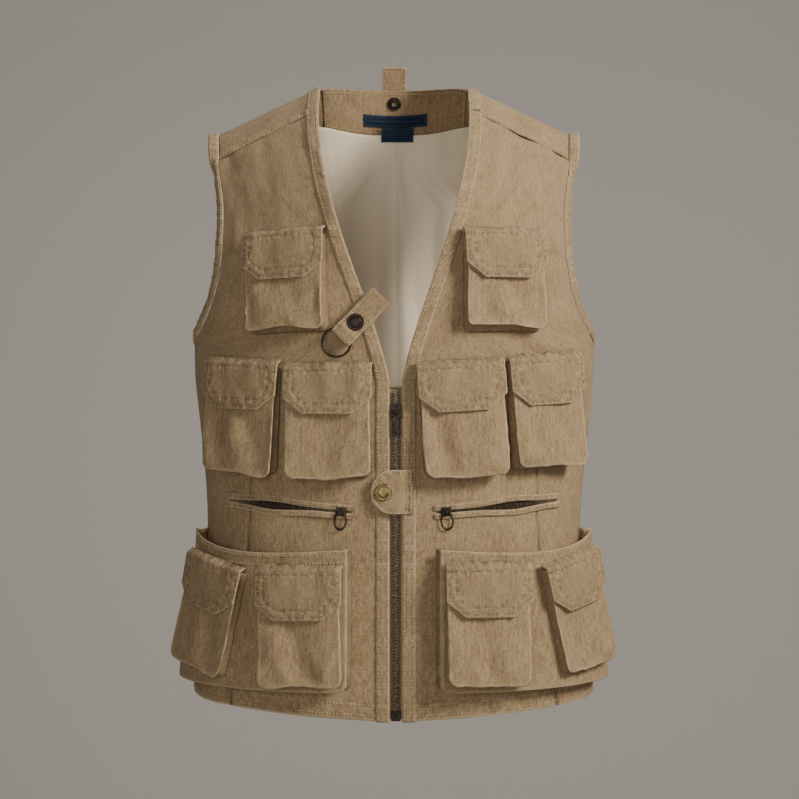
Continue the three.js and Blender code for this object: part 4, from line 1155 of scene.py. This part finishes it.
def flap_tone(spec):
    rim = flap_edge(spec, 0.01)

    def tone(a, b):
        edge, along = distance_to(rim, a, b)
        wear, seam = 0.6 * np.exp(-(edge / 0.9) ** 2), 0.5 * np.exp(-(b / 0.6) ** 2)
        for k, row in enumerate(FLAP_ROWS):
            for distance, run in ((edge - row, along), (-b - row, a)):
                rubbed, shade = stitched(distance, run, 71 + k)
                wear, seam = np.maximum(wear, rubbed), np.maximum(seam, shade)
        return wear, seam + 0.12
    return tone


print("flap hem rows at", FLAP_ROWS, "mm")

# %% Ten pockets and their flaps
POCKETS = [("chest", -1, 95.5, 433, 0.05, CHEST), ("chest", 1, 95.5, 434, 0, CHEST),
           ("mid_outer", -1, 133, 320, -0.05, MIDDLE), ("mid_inner", -1, 57, 315.5, 0, MIDDLE),
           ("mid_inner", 1, 57.5, 318, 0.06, MIDDLE), ("mid_outer", 1, 133, 324, 0.06, MIDDLE),
           ("hip_outer", -1, 157, 141, -0.18, SIDE), ("hip_inner", -1, 82, 138, 0.03, HIP),
           ("hip_inner", 1, 82, 141, -0.02, HIP), ("hip_outer", 1, 157, 144, 0.18, SIDE)]
for seed, (kind, side, x, z, tilt, spec) in enumerate(POCKETS, start=100):
    name = f"{'left' if side > 0 else 'right'}_{kind}"
    layer = patch_layer if kind.startswith("hip") else cloth_layer
    place = front_place(side * x, z, float(layer(np.float64(z))), tilt)
    sheet = pocket_sheet(place, spec, layer, seed * 3)
    half, gusset = spec["width"] / 2, spec["depth"]
    size = (spec["width"] + 2 * gusset, spec["height"] + gusset - POCKET["mouth_drop"])
    outline = rounded_flat(half, -POCKET["mouth_drop"], -spec["height"], gusset)
    cloth_piece(f"{name}_pocket_cloth", sheet, outline, size, 1.5, POCKET["wall"],
                stands_for=[f"{name}_pocket"], tone=pocket_tone(spec))
    flap, rows = flap_sheet(place, spec, layer, seed * 5)
    size = (spec["width"] + 2 * FLAP["overhang"], spec["flap"])
    cloth_piece(f"{name}_flap_cloth", flap, flap_outline(spec), size, 1.0, FLAP["cloth"],
                body=f"{name}_flap", stands_for=[f"{name}_flap"], tone=flap_tone(spec))
    for row in rows:
        topstitch(flap, row, f"{name}_flap", f"{name}_flap")
    width = spec["width"] / 2
    for row in FLAP_ROWS:
        topstitch(flap, [(-width, -row), (width, -row)], f"{name}_flap", f"{name}_flap")
print("pocket", flat_sizes["left_mid_inner_pocket_cloth"], "flap", flat_sizes["left_mid_inner_flap_cloth"])

# %% Patch pockets at the hips
PATCH_SIZE, PATCH_GUSSET, PATCH_ROWS = (150, 125), 13, (3, 11)


def patch_sheet(side, seed):
    half, floor = PATCH_SIZE[0] / 2, -PATCH_SIZE[1]

    def base(s, t):
        a, b, share, _ = tucked(s, t, half, floor, PATCH_GUSSET)
        outward = (a + half) / PATCH_SIZE[0]
        top = PATCH["top_z"] - 5 * np.sin(np.pi * np.clip(outward, 0, 1)) + 12 * np.clip(outward, 0, 1) ** 3
        z = lerp(top, PATCH["bottom_z"], -b / PATCH_SIZE[1])
        inner = turn_of_x(PATCH["inner_x"] + 0 * z, z)
        turn = lerp(inner, PATCH["outer_turn"], outward)
        return skin(side * turn, z, lerp(patch_face(z), CLOTH + GAP, share))

    def relief(s, t):
        past = tucked(s, t, half, floor, PATCH_GUSSET)[3]
        inside = np.clip(-past / 15, 0, 1)
        lip = np.exp(-(t / 14) ** 2)
        return (inside * (0.9 * rumple(s, t, seed, 30) - 0.9) * (1 - lip) + 0.45 * pucker(t + 6, s, seed + 2, 6)
                + lip * 0.5 * noise2(s / 30, 0, seed + 4))
    return Sheet(base, relief)


def patch_tone(s, t):
    past = tucked(s, t, PATCH_SIZE[0] / 2, -PATCH_SIZE[1], PATCH_GUSSET)[3]
    # Pale edges are rubbed wear; the gusset darkening as it tucks in towards the vest is painted shade.
    wear = 0.6 * np.exp(-(past / 1.2) ** 2) + 0.4 * np.exp(-(t / 1.2) ** 2)
    seam = 0.25 * np.clip(past / PATCH_GUSSET, 0, 1)
    for row in PATCH_ROWS:
        rubbed, shade = stitched(t + row, s, 80 + row)
        wear, seam = wear + rubbed, seam + shade
    return wear, seam


for side_name, side in SIDES:
    sheet = patch_sheet(side, 201 + side)
    half = PATCH_SIZE[0] / 2
    size = (PATCH_SIZE[0] + 2 * PATCH_GUSSET, PATCH_SIZE[1] + PATCH_GUSSET)
    cloth_piece(f"{side_name}_patch_pocket_cloth", sheet, rounded_flat(half, 0, -PATCH_SIZE[1], PATCH_GUSSET),
                size, 1.8, POCKET["wall"], stands_for=[f"{side_name}_patch_pocket"], tone=patch_tone)
    for row in PATCH_ROWS:
        topstitch(sheet, [(-half + 1, -row), (half - 1, -row)], "patch_pocket")
    tack = [(-half - PATCH_GUSSET + 1 + 3 * (k % 2), -PATCH_SIZE[1] + 14 + 0.8 * k) for k in range(12)]
    topstitch(sheet, tack, "bar_tack", pitch=1.6)
print("patch pockets", flat_sizes["left_patch_pocket_cloth"])

# %% [markdown]
# ## Straps, tab and hanging loop
# These are doubled strips. Each is a ribbon that follows a bent line seen from its edge, so the
# line needs only its few corners, which are rounded before the ribbon is laid along it.

# %% Ribbons
def rounded_line(points, radius):
    line = [np.array(points[0], float)]
    for before, corner, after in zip(points, points[1:], points[2:]):
        before, corner, after = [np.array(p, float) for p in (before, corner, after)]
        reach = min(radius, np.linalg.norm(corner - before) / 2.1, np.linalg.norm(after - corner) / 2.1)
        start, end = corner + unit(before - corner) * reach, corner + unit(after - corner) * reach
        for t in np.linspace(0, 1, 9):
            line.append((1 - t) ** 2 * start + 2 * t * (1 - t) * corner + t * t * end)
    return np.array(line + [np.array(points[-1], float)])


def ribbon(place, points, width, radius, seed, faces_out=False):
    line = rounded_line(points, radius)
    at = np.r_[0, np.cumsum(np.linalg.norm(np.diff(line, axis=0), axis=1))]

    def base(p, q):
        a, h = [np.interp(q, at, line[:, k]) for k in range(2)]
        return place.on(a, p - width / 2, h)

    def relief(p, q):
        edge = np.minimum(p, width - p)
        height = 0.4 * pucker(edge - STITCH_INSET, q, seed, 2.6, 5) + 0.3 * groove(edge - STITCH_INSET)
        return height - 0.5 * np.exp(-(edge / 0.8) ** 2) + 0.15 * rumple(p, q, seed, 12)

    def away(found):
        return place.out if faces_out else found - place.on(np.mean(line[:, 0]), 0.0, np.mean(line[:, 1]))
    return Sheet(base, relief, away), (width, at[-1])


def ribbon_piece(name, stands_for, body, place, points, width, radius, thick, seed, stitched=None,
                 faces_out=False):
    sheet, size = ribbon(place, points, width, radius, seed, faces_out)
    cloth_piece(name, sheet, rectangle(size), size, 0.9, thick, body=body, stands_for=stands_for,
                finish=canvas_strap, tone=strip_tone(width))
    start, end = stitched or (1, size[1] - 1)
    for edge in (STITCH_INSET, width - STITCH_INSET):
        topstitch(sheet, [(edge, start), (edge, end)], name, body, pitch=2.8)


X_AXIS, FORWARD = (1, 0, 0), (0, -1, 0)
TAB = {"z": 202, "height": 39, "reach": 22, "base": 15, "lift": 8.4, "snap": 11}
STRAP = {"x": 32.5, "z": 350.5, "turn": 0.8, "width": 21, "tail": 21, "fold": 31, "under": 27,
         "lift": 5, "cloth": 1.3}
RING_FOLD, RING = {"length": 9.8, "height": 4.6}, {"radius": 12.6, "wire": 0.95}
HANGER = {"width": 24, "rise": 20, "drop": 23, "snap": 13, "hollow": 5.4, "cloth": 1.3, "set": 1.2}
TAB_FOOT = BAND["low"] + THIN_CLOTH + GAP
tab_place = Place((ZIP_X, -FRONT_DEPTH, TAB["z"]), X_AXIS, FORWARD)


def tab_base(p, q):
    height = lerp(TAB["lift"], TAB_FOOT + CLOTH, ease((p - 3.5) / 5.5))
    return tab_place.on(p, q, height)


def tab_outline(u, v):
    radius = TAB["height"] / 2
    q = (v - 0.5) * TAB["height"]
    start = -TAB["reach"] + radius - np.sqrt(np.maximum(radius ** 2 - q ** 2, 0))
    return lerp(start, TAB["base"], u), q


def tab_edge(p, q):
    radius = TAB["height"] / 2
    centre = -TAB["reach"] + radius
    round_end = radius - np.hypot(p - centre, q)
    return np.where(p < centre, round_end, radius - np.abs(q))


def tab_relief(p, q):
    edge = tab_edge(p, q)
    height = 0.5 * pucker(edge - 3, p + q, 301, 3, 5) + 0.35 * groove(edge - 3)
    height = height + 0.25 * rumple(p, q, 303, 14)
    return height - 0.7 * np.exp(-(edge / 0.8) ** 2) + 0.4 * groove(p - 10) + 0.4 * pucker(p - 12, q, 305, 3, 5)


def tab_tone(p, q):
    edge = tab_edge(p, q)
    rubbed, shade = stitched(np.minimum(edge - 3, np.abs(p - 11.6)), p + q, 95)
    return 0.6 * np.exp(-(edge / 1.1) ** 2) + rubbed, shade + 0.4 * np.exp(-((p - TAB["base"]) / 0.6) ** 2)


tab = Sheet(tab_base, tab_relief, forward)
size = (TAB["base"] + TAB["reach"], TAB["height"])
cloth_piece("waist_tab_cloth", tab, tab_outline, size, 0.9, 1.6, body="waist_tab", stands_for=["waist_tab"],
            finish=canvas_strap, tone=tab_tone)
radius = TAB["height"] / 2 - 3
centre = -TAB["reach"] + TAB["height"] / 2
turn = np.linspace(math.pi / 2, 3 * math.pi / 2, 24)
tab_line = [(centre + radius * math.cos(t), radius * math.sin(t)) for t in turn]
tab_line = [(10, radius), *tab_line, (10, -radius)]
topstitch(tab, tab_line, "waist_tab", "waist_tab", pitch=2.8)
for row in (10, 13.2):
    topstitch(tab, [(row, -radius - 1.5), (row, radius + 1.5)], "waist_tab", "waist_tab", pitch=2.6)

chest = front_place(-STRAP["x"], STRAP["z"], BAND["low"] + THIN_CLOTH)
strap_place = Place(chest.at, turned(chest.along, chest.out, STRAP["turn"]), chest.out)
strap_top = STRAP["lift"] + 2 * STRAP["cloth"]
ring_height = STRAP["lift"] + STRAP["cloth"]
wall = RING_FOLD["height"] / 2 + STRAP["cloth"]
fold_in = -STRAP["tail"] + STRAP["cloth"] + RING_FOLD["length"]
strap_line = [(STRAP["fold"], strap_top), (fold_in + 2.5, strap_top), (fold_in, ring_height + wall),
              (-STRAP["tail"] + 1, ring_height + wall), (-STRAP["tail"], ring_height),
              (-STRAP["tail"] + 1, ring_height - wall), (fold_in, ring_height - wall),
              (fold_in + 2.5, STRAP["lift"]), (STRAP["fold"], STRAP["lift"])]
ribbon_piece("ring_strap_cloth", ["ring_strap"], "ring_strap", strap_place, strap_line, STRAP["width"], 1.6,
             STRAP["cloth"] - 0.1, 311, stitched=(1, STRAP["fold"] - fold_in - 3))
base_line = [(STRAP["fold"] - STRAP["under"], GAP), (STRAP["fold"] - 1, GAP), (STRAP["fold"] + 1.2, 2.2),
             (STRAP["fold"] + 0.9, strap_top - 0.5), (STRAP["fold"] + 0.2, strap_top)]
ribbon_piece("ring_strap_base_cloth", ["ring_strap_base"], "garment", strap_place, base_line, STRAP["width"],
             1.6, 0.9, 321)

hang_at = skin_at_x(0.0, BACK_NECK_Z, False, CLOTH)
up_slope = unit(hang_at - skin_at_x(0.0, BACK_NECK_Z - HANGER["drop"], False, CLOTH))
hanger = Place(hang_at, up_slope, (0, up_slope[2], -up_slope[1]))
hanger_far = HANGER["set"] + 2 * HANGER["cloth"] + HANGER["hollow"]
hanger_top = HANGER["rise"] + HANGER["cloth"]
inner_line = [(-HANGER["drop"], HANGER["set"] + HANGER["cloth"]),
              (HANGER["rise"] - GAP, HANGER["set"] + HANGER["cloth"])]
outer_line = [(-HANGER["drop"], hanger_far), (hanger_top, hanger_far), (hanger_top, HANGER["set"])]
for layer_name, line, body in (("inner", inner_line, "garment"), ("outer", outer_line, "hanging_loop")):
    ribbon_piece(f"hanging_loop_{layer_name}_cloth", [f"hanging_loop_{layer_name}"], body, hanger, line,
                 HANGER["width"], 2.2, HANGER["cloth"] - 0.1, 331, faces_out=True)
print("strap", flat_sizes["ring_strap_cloth"], "loop", flat_sizes["hanging_loop_outer_cloth"])

# %% Labels, woven with plain bars and a border
LABELS = {"size_label": (1, 25, 62, 11), "care_label": (3, 37, 32, 14)}


def label_tone(width, height, bars):
    def tone(p, q):
        border = np.minimum(np.minimum(p, width - p), np.minimum(q, height - q))
        lines = sum(np.exp(-((q - height * bar) / 0.5) ** 2) for bar in bars)
        lines = lines * (np.abs(p - width / 2) < width / 2 - 5)
        return np.clip(np.exp(-((border - 1.1) / 0.35) ** 2) + lines, 0, 1), 0 * p
    return tone


for name, (x, below, width, height) in LABELS.items():
    proud = -FACING["set"] - THIN_CLOTH - (1.1 if name == "size_label" else 4)
    top = BACK_NECK_Z - below

    def label_base(p, q, x=x, width=width, height=height, proud=proud, top=top):
        return skin_at_x(x + p - width / 2, top - height + q, False, proud - 0.5)
    sheet = Sheet(label_base, lambda p, q: 0.25 * rumple(p, q, 341, 9), towards_body)
    cloth_piece(f"{name}_cloth", sheet, rectangle((width, height)), (width, height), 0.6, 0.45,
                stands_for=[name], finish=label_cloth,
                tone=label_tone(width, height, (0.5,) if name == "size_label" else (0.3, 0.5, 0.7)))
print("labels", list(LABELS))

# %% [markdown]
# ## Zips
# A zip's chain is a row of small cast teeth that alternate from one tape to the other. One tooth
# is made and copied up the chain, set to one side and then the other in turn.

# %% Zip chains, tapes and the pocket zips
TAPE = {"width": 13, "clear": 1.7, "back": 1.3, "end": 2, "under": 4.4}
SLOT_CHAIN_THICK = 2.2


def shown(name, bm, material, body="garment", stands_for=(), smooth=True):
    mesh = mesh_of(name, bm)
    if smooth:
        mesh.shade_smooth()
    piece = linked(name, mesh)
    mesh.materials.append(material)
    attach(piece, body)
    if stands_for:
        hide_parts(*stands_for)
    return piece


def tooth_mesh(width, height, thick):
    bm = bmesh.new()
    bmesh.ops.create_cube(bm, size=1)
    bmesh.ops.scale(bm, verts=bm.verts, vec=(width, height, thick))
    bmesh.ops.bevel(bm, geom=bm.edges[:], offset=height * 0.22, segments=1, profile=0.5, affect="EDGES",
                    material=-1)
    return mesh_of("tooth", bm)


def chain_piece(name, matrices, width, height, thick, stands_for):
    tooth = tooth_mesh(width, height, thick)
    bm = bmesh.new()
    for matrix in matrices:
        copy = tooth.copy()
        copy.transform(matrix)
        bm.from_mesh(copy)
        bpy.data.meshes.remove(copy)
    bmesh.ops.scale(bm, verts=bm.verts, vec=(MM, MM, MM))
    return shown(name, bm, teeth_metal, stands_for=stands_for, smooth=False)


chain_y = -(FRONT_DEPTH + CHAIN["proud"])
PITCH = 2.5
heights = np.arange(CHAIN["bottom"] + 1, CHAIN["top"] - 1, PITCH / 2)


# Painted shade: the tape is darkened under the chain, where it lies in shadow.
def tape_painted_shade(p, q):
    return 0 * p, 0.85 * np.clip((5.2 - p) / 1.5, 0, 1)


front_teeth = []
for k, z in enumerate(heights):
    place = Place((ZIP_X + (0.95 if k % 2 else -0.95), chain_y, z), X_AXIS, FORWARD)
    front_teeth.append(place.matrix())
chain_piece("zip_chain_teeth", front_teeth, 4.1, 0.95, CHAIN["thick"], ["zip_chain"])
for side_name, side in SIDES:
    def tape_base(p, q, side=side):
        x = ZIP_X + side * (CHAIN["width"] / 2 + TAPE["clear"] - TAPE["under"] + p)
        return np.stack([x, -(FRONT_DEPTH - TAPE["back"]) + 0 * x, TAPE["end"] + q], axis=-1)
    size = (TAPE["width"] + TAPE["under"], CHAIN["top"] - TAPE["end"])
    sheet = Sheet(tape_base, lambda p, q: 0.12 * noise2(q / 3, p, 5) + 0.35 * np.exp(-((p - 0.6) / 0.7) ** 2),
                  forward)
    cloth_piece(f"{side_name}_zip_tape_cloth", sheet, rectangle(size), size, 1.2, 0.7,
                stands_for=[f"{side_name}_zip_tape"], finish=tape, tone=tape_painted_shade)
    shares = np.linspace(0.01, 0.99, 92)
    pocket_teeth = []
    for k, share in enumerate(shares):
        place = slot_place(side, share)
        offset = (0.55 if k % 2 else -0.55) * float(slit_half(share)) * 0.55
        pocket_teeth.append(Place(place.on(0.0, offset, 0.0), place.along, place.out).matrix())
    chain_piece(f"{side_name}_zip_pocket_teeth", pocket_teeth, 0.75, 2.6, SLOT_CHAIN_THICK * 0.8,
                [f"{side_name}_zip_pocket_chain"])
print("teeth in the front zip", len(front_teeth))

# %% Welts of the zip pockets and their tape, made near-black as painted shade in the slit
WELT, POCKET_TAPE = (5.5, 111), (13, 107)


def slot_strip(side, near, far, high, seed, crown):
    def base(p, q):
        share = lerp(-0.03, 1.03, q / WELT[1])
        width = slit_half(share) * (1 if near > 0 else -1)
        return slot_points(side, share, width + near + (far - near) * p / abs(far - near), high + 0 * p)

    def relief(p, q):
        width = abs(far - near)
        return crown * np.sin(np.pi * np.clip(p / width, 0, 1)) ** 0.7 + 0.3 * pucker(p - width, q, seed, 2, 6)
    return Sheet(base, relief, forward)


# The zip's tape behind each slit, made near-black as painted shade in the opening.
pocket_tape_painted_shade = woven("pocket_zip_tape_painted_shade", (0.02, 0.016, 0.012), (0.05, 0.04, 0.03), (0.08, 0.07, 0.05), 0.85, 0.5,
                  0.4, 0.05)
for side_name, side in SIDES:
    for edge, near, far in (("upper", 0.1, 5.6), ("lower", -0.1, -5.6)):
        strip = slot_strip(side, near, far, 1.3, 351, 0.9)
        cloth_piece(f"{side_name}_zip_pocket_{edge}_welt", strip, rectangle(WELT), WELT, 0.8, 0.6,
                    finish=canvas_strap, tone=strip_tone(WELT[0]))
        topstitch(strip, [(4.4, 1), (4.4, WELT[1] - 1)], "zip_pocket", pitch=2.8)

    def backing_base(p, q, side=side):
        return slot_points(side, q / POCKET_TAPE[1], p - POCKET_TAPE[0] / 2, -1.4 + 0 * p)
    cloth_piece(f"{side_name}_zip_pocket_tape_painted_shade", Sheet(backing_base, None, forward),
                rectangle(POCKET_TAPE), POCKET_TAPE, 1.5, 0.4, finish=pocket_tape_painted_shade)
print("zip pocket welts made")

# %% [markdown]
# ## Metal
# The sliders, pulls and the retainer already have their right shape in the model, with sharp
# edges. A copy is merged and bevelled, so its edges catch the light as cast metal's do. Caps,
# studs and posts are turned from a profile, and the rings are bent wire.

# %% Bevelled copies of the zip hardware
def eased_copy(node_name, body, width=0.22, material=dark_metal):
    bm = bmesh.new()
    bm.from_mesh(bpy.data.objects[node_name].data)
    bmesh.ops.remove_doubles(bm, verts=bm.verts, dist=2e-6)
    bmesh.ops.dissolve_limit(bm, angle_limit=math.radians(2), verts=bm.verts, edges=bm.edges)
    sharp = [e for e in bm.edges if len(e.link_faces) == 2 and e.calc_face_angle(0) > math.radians(25)]
    bmesh.ops.bevel(bm, geom=sharp, offset=width * MM, segments=2, profile=0.5, affect="EDGES", material=-1,
                    clamp_overlap=True)
    bmesh.ops.triangulate(bm, faces=bm.faces)
    return shown(f"{node_name}_cast", bm, material, body, [node_name], smooth=False)


eased_copy("zip_slider", "zip_slider")
eased_copy("zip_pull", "zip_pull", 0.3)
eased_copy("zip_retainer", "garment", 0.4)
for side_name, side in SIDES:
    eased_copy(f"{side_name}_zip_pocket_slider", f"{side_name}_zip_pocket_slider", 0.18)
print("bevelled zip hardware")

# %% Snaps and rings
CAP = [(0, 1.5), (3.2, 1.42), (5.2, 1.15), (5.75, 0.8), (6.1, 1.0), (6.8, 1.15), (7.3, 0.9), (7.5, 0.4),
       (7.3, 0.05), (0, 0.05)]
STUD = [(0, 1), (2.6, 1), (3.4, 0.9), (4, 0.75), (4, 0.1), (3.6, 0), (0, 0)]
POST = [(2.6, 0.1), (2.6, 0.95), (3.0, 1.2), (4.1, 1.25), (4.4, 0.95), (5.2, 0.9), (5.6, 1.15), (6.3, 1.1),
        (6.7, 0.7), (6.7, 0.1), (2.6, 0.1)]


def turned_piece(name, profile, place, low, scale, material, body, stands_for):
    bm = bmesh.new()
    verts = [bm.verts.new((r, 0, h * scale)) for r, h in profile]
    edges = [bm.edges.new(pair) for pair in zip(verts, verts[1:])]
    bmesh.ops.spin(bm, geom=verts + edges, axis=(0, 0, 1), cent=(0, 0, 0), angle=2 * math.pi, steps=40,
                   use_merge=True)
    bmesh.ops.remove_doubles(bm, verts=bm.verts, dist=1e-4)
    bmesh.ops.dissolve_degenerate(bm, dist=1e-5, edges=bm.edges)
    bmesh.ops.recalc_face_normals(bm, faces=bm.faces)
    bmesh.ops.translate(bm, verts=bm.verts, vec=(0, 0, low))
    bmesh.ops.transform(bm, matrix=place.matrix(), verts=bm.verts)
    bmesh.ops.scale(bm, verts=bm.verts, vec=(MM, MM, MM))
    return shown(name, bm, material, body, stands_for)


def wire_ring(name, place, radius, wire, stretch, drop, height, body, stands_for):
    bm = bmesh.new()
    bmesh.ops.create_circle(bm, segments=12, radius=wire)
    bmesh.ops.rotate(bm, verts=bm.verts, cent=(0, 0, 0), matrix=Matrix.Rotation(math.pi / 2, 3, "X"))
    bmesh.ops.translate(bm, verts=bm.verts, vec=(radius, 0, 0))
    bmesh.ops.spin(bm, geom=bm.verts[:] + bm.edges[:], axis=(0, 0, 1), cent=(0, 0, 0), angle=2 * math.pi,
                   steps=48, use_merge=True)
    bmesh.ops.remove_doubles(bm, verts=bm.verts, dist=1e-4)
    bmesh.ops.recalc_face_normals(bm, faces=bm.faces)
    bmesh.ops.scale(bm, verts=bm.verts, vec=(1, stretch, 1))
    bmesh.ops.translate(bm, verts=bm.verts, vec=(drop[0], drop[1], height))
    bmesh.ops.transform(bm, matrix=place.matrix(), verts=bm.verts)
    bmesh.ops.scale(bm, verts=bm.verts, vec=(MM, MM, MM))
    return shown(name, bm, dark_metal, body, stands_for)


SNAP_CLEAR = 0.3
tab_snap = Place(tab_place.on(TAB["snap"] - TAB["reach"], 0.0, 0.0), X_AXIS, FORWARD)
hanger_snap = Place(hanger.on(-HANGER["snap"], 0.0, 0.0), hanger.along, hanger.out)
post_high = -(CLOTH + FACING["set"] + THIN_CLOTH + 1.2)
post_place = Place(hanger_snap.at, -hanger_snap.along, -hanger_snap.out)
SNAPS = [
    ("waist_tab_snap_cap", CAP, tab_snap, TAB["lift"] + SNAP_CLEAR, 1, brass, "waist_tab", "brass_metal"),
    ("waist_tab_snap_stud", STUD, tab_snap, TAB_FOOT, TAB["lift"] - CLOTH - SNAP_CLEAR - TAB_FOOT, brass,
     "garment", "dark_metal"),
    ("ring_strap_snap_cap", CAP, strap_place, strap_top + SNAP_CLEAR, 1, dark_metal, "ring_strap", "dark_metal"),
    ("ring_strap_snap_stud", STUD, strap_place, GAP, STRAP["lift"] - SNAP_CLEAR - GAP, dark_metal, "garment",
     "dark_metal"),
    ("hanging_loop_snap_cap", CAP, hanger_snap, hanger_far + SNAP_CLEAR, 1, dark_metal, "hanging_loop",
     "dark_metal"),
    ("hanging_loop_snap_post", POST, post_place, -post_high, 1, dark_metal, "garment", "dark_metal")]
for name, profile, place, low, scale, material, body, slot_name in SNAPS:
    turned_piece(f"{name}_turned", profile, place, low, scale, material, body, [name])
ring_middle = -STRAP["tail"] + STRAP["cloth"] + RING_FOLD["length"] / 2
ring_edge = math.sqrt(RING["radius"] ** 2 - (STRAP["width"] / 2) ** 2)
wire_ring("ring_strap_ring_wire", strap_place, RING["radius"], RING["wire"], 1,
          (ring_middle - (RING["radius"] + ring_edge) / 2, 0), ring_height, "ring_strap_ring", ["ring_strap_ring"])
PULL_RING = {"radius": 5.2, "stretch": 1.5, "wire": 0.7}
PIN_HEIGHT = SLOT_CHAIN_THICK / 2 + 0.3 + 0.9 + 1.2
for side_name, side in SIDES:
    wire_ring(f"{side_name}_zip_pocket_pull_wire", slot_place(side, 0.06), PULL_RING["radius"],
              PULL_RING["wire"], PULL_RING["stretch"], (0, -PULL_RING["radius"] * PULL_RING["stretch"]),
              PIN_HEIGHT, f"{side_name}_zip_pocket_pull", [f"{side_name}_zip_pocket_pull"])
print("snaps and rings turned and bent")

make_stitches()

# %% Camera, light and stage
def look(name, place, target):
    made = bpy.data.objects[name]
    made.location = (np.array(place) + SHIFT) * MM
    aim = Vector((np.array(target, float) - np.array(place, float)).tolist())
    made.rotation_mode = "QUATERNION"
    made.rotation_quaternion = aim.to_track_quat("-Z", "Y")


CAMERA_PLACE, CAMERA_TARGET, LENS = (5.2, -1500, 283), (5.2, 0, 283), 71.1
camera = linked("camera", bpy.data.cameras.new("camera"))
camera.data.lens, camera.data.sensor_width = LENS, 36
look("camera", CAMERA_PLACE, CAMERA_TARGET)
bpy.context.scene.camera = camera

LIGHTS = {"key": ((1150, -1000, 1000), 36, 480, (1.0, 0.96, 0.9)),
          "fill": ((-250, -1600, 330), 9, 800, (1.0, 0.98, 0.95)),
          "top": ((0, 200, 1500), 8, 900, (1, 1, 1)),
          "behind": ((0, 1500, 800), 16, 1400, (1, 1, 1))}
for name, (place, power, size, colour) in LIGHTS.items():
    light = bpy.data.lights.new(name, "AREA")
    light.energy, light.size, light.color = power, size * MM, colour
    linked(name, light)
    look(name, place, (0, 0, 300))

world = bpy.data.worlds.new("room")
bpy.context.scene.world = world
world.use_nodes = True
world.node_tree.nodes["Background"].inputs["Color"].default_value = (0.8, 0.8, 0.8, 1)
world.node_tree.nodes["Background"].inputs["Strength"].default_value = 0.24

wall_paint, _ = finish_of("wall_paint", (0.62, 0.59, 0.535), 0.9)
for name, turn, at in (("floor", 0, (0, 0, -1100)), ("backdrop", math.pi / 2, (0, 2300, 400))):
    bm = bmesh.new()
    bmesh.ops.create_grid(bm, x_segments=1, y_segments=1, size=3)
    bmesh.ops.rotate(bm, verts=bm.verts, cent=(0, 0, 0), matrix=Matrix.Rotation(turn, 3, "X"))
    bmesh.ops.translate(bm, verts=bm.verts, vec=Vector(((np.array(at) + SHIFT) * MM).tolist()))
    plane = linked(name, mesh_of(name, bm))
    plane.data.materials.append(wall_paint)
print("camera, lights and stage are set")
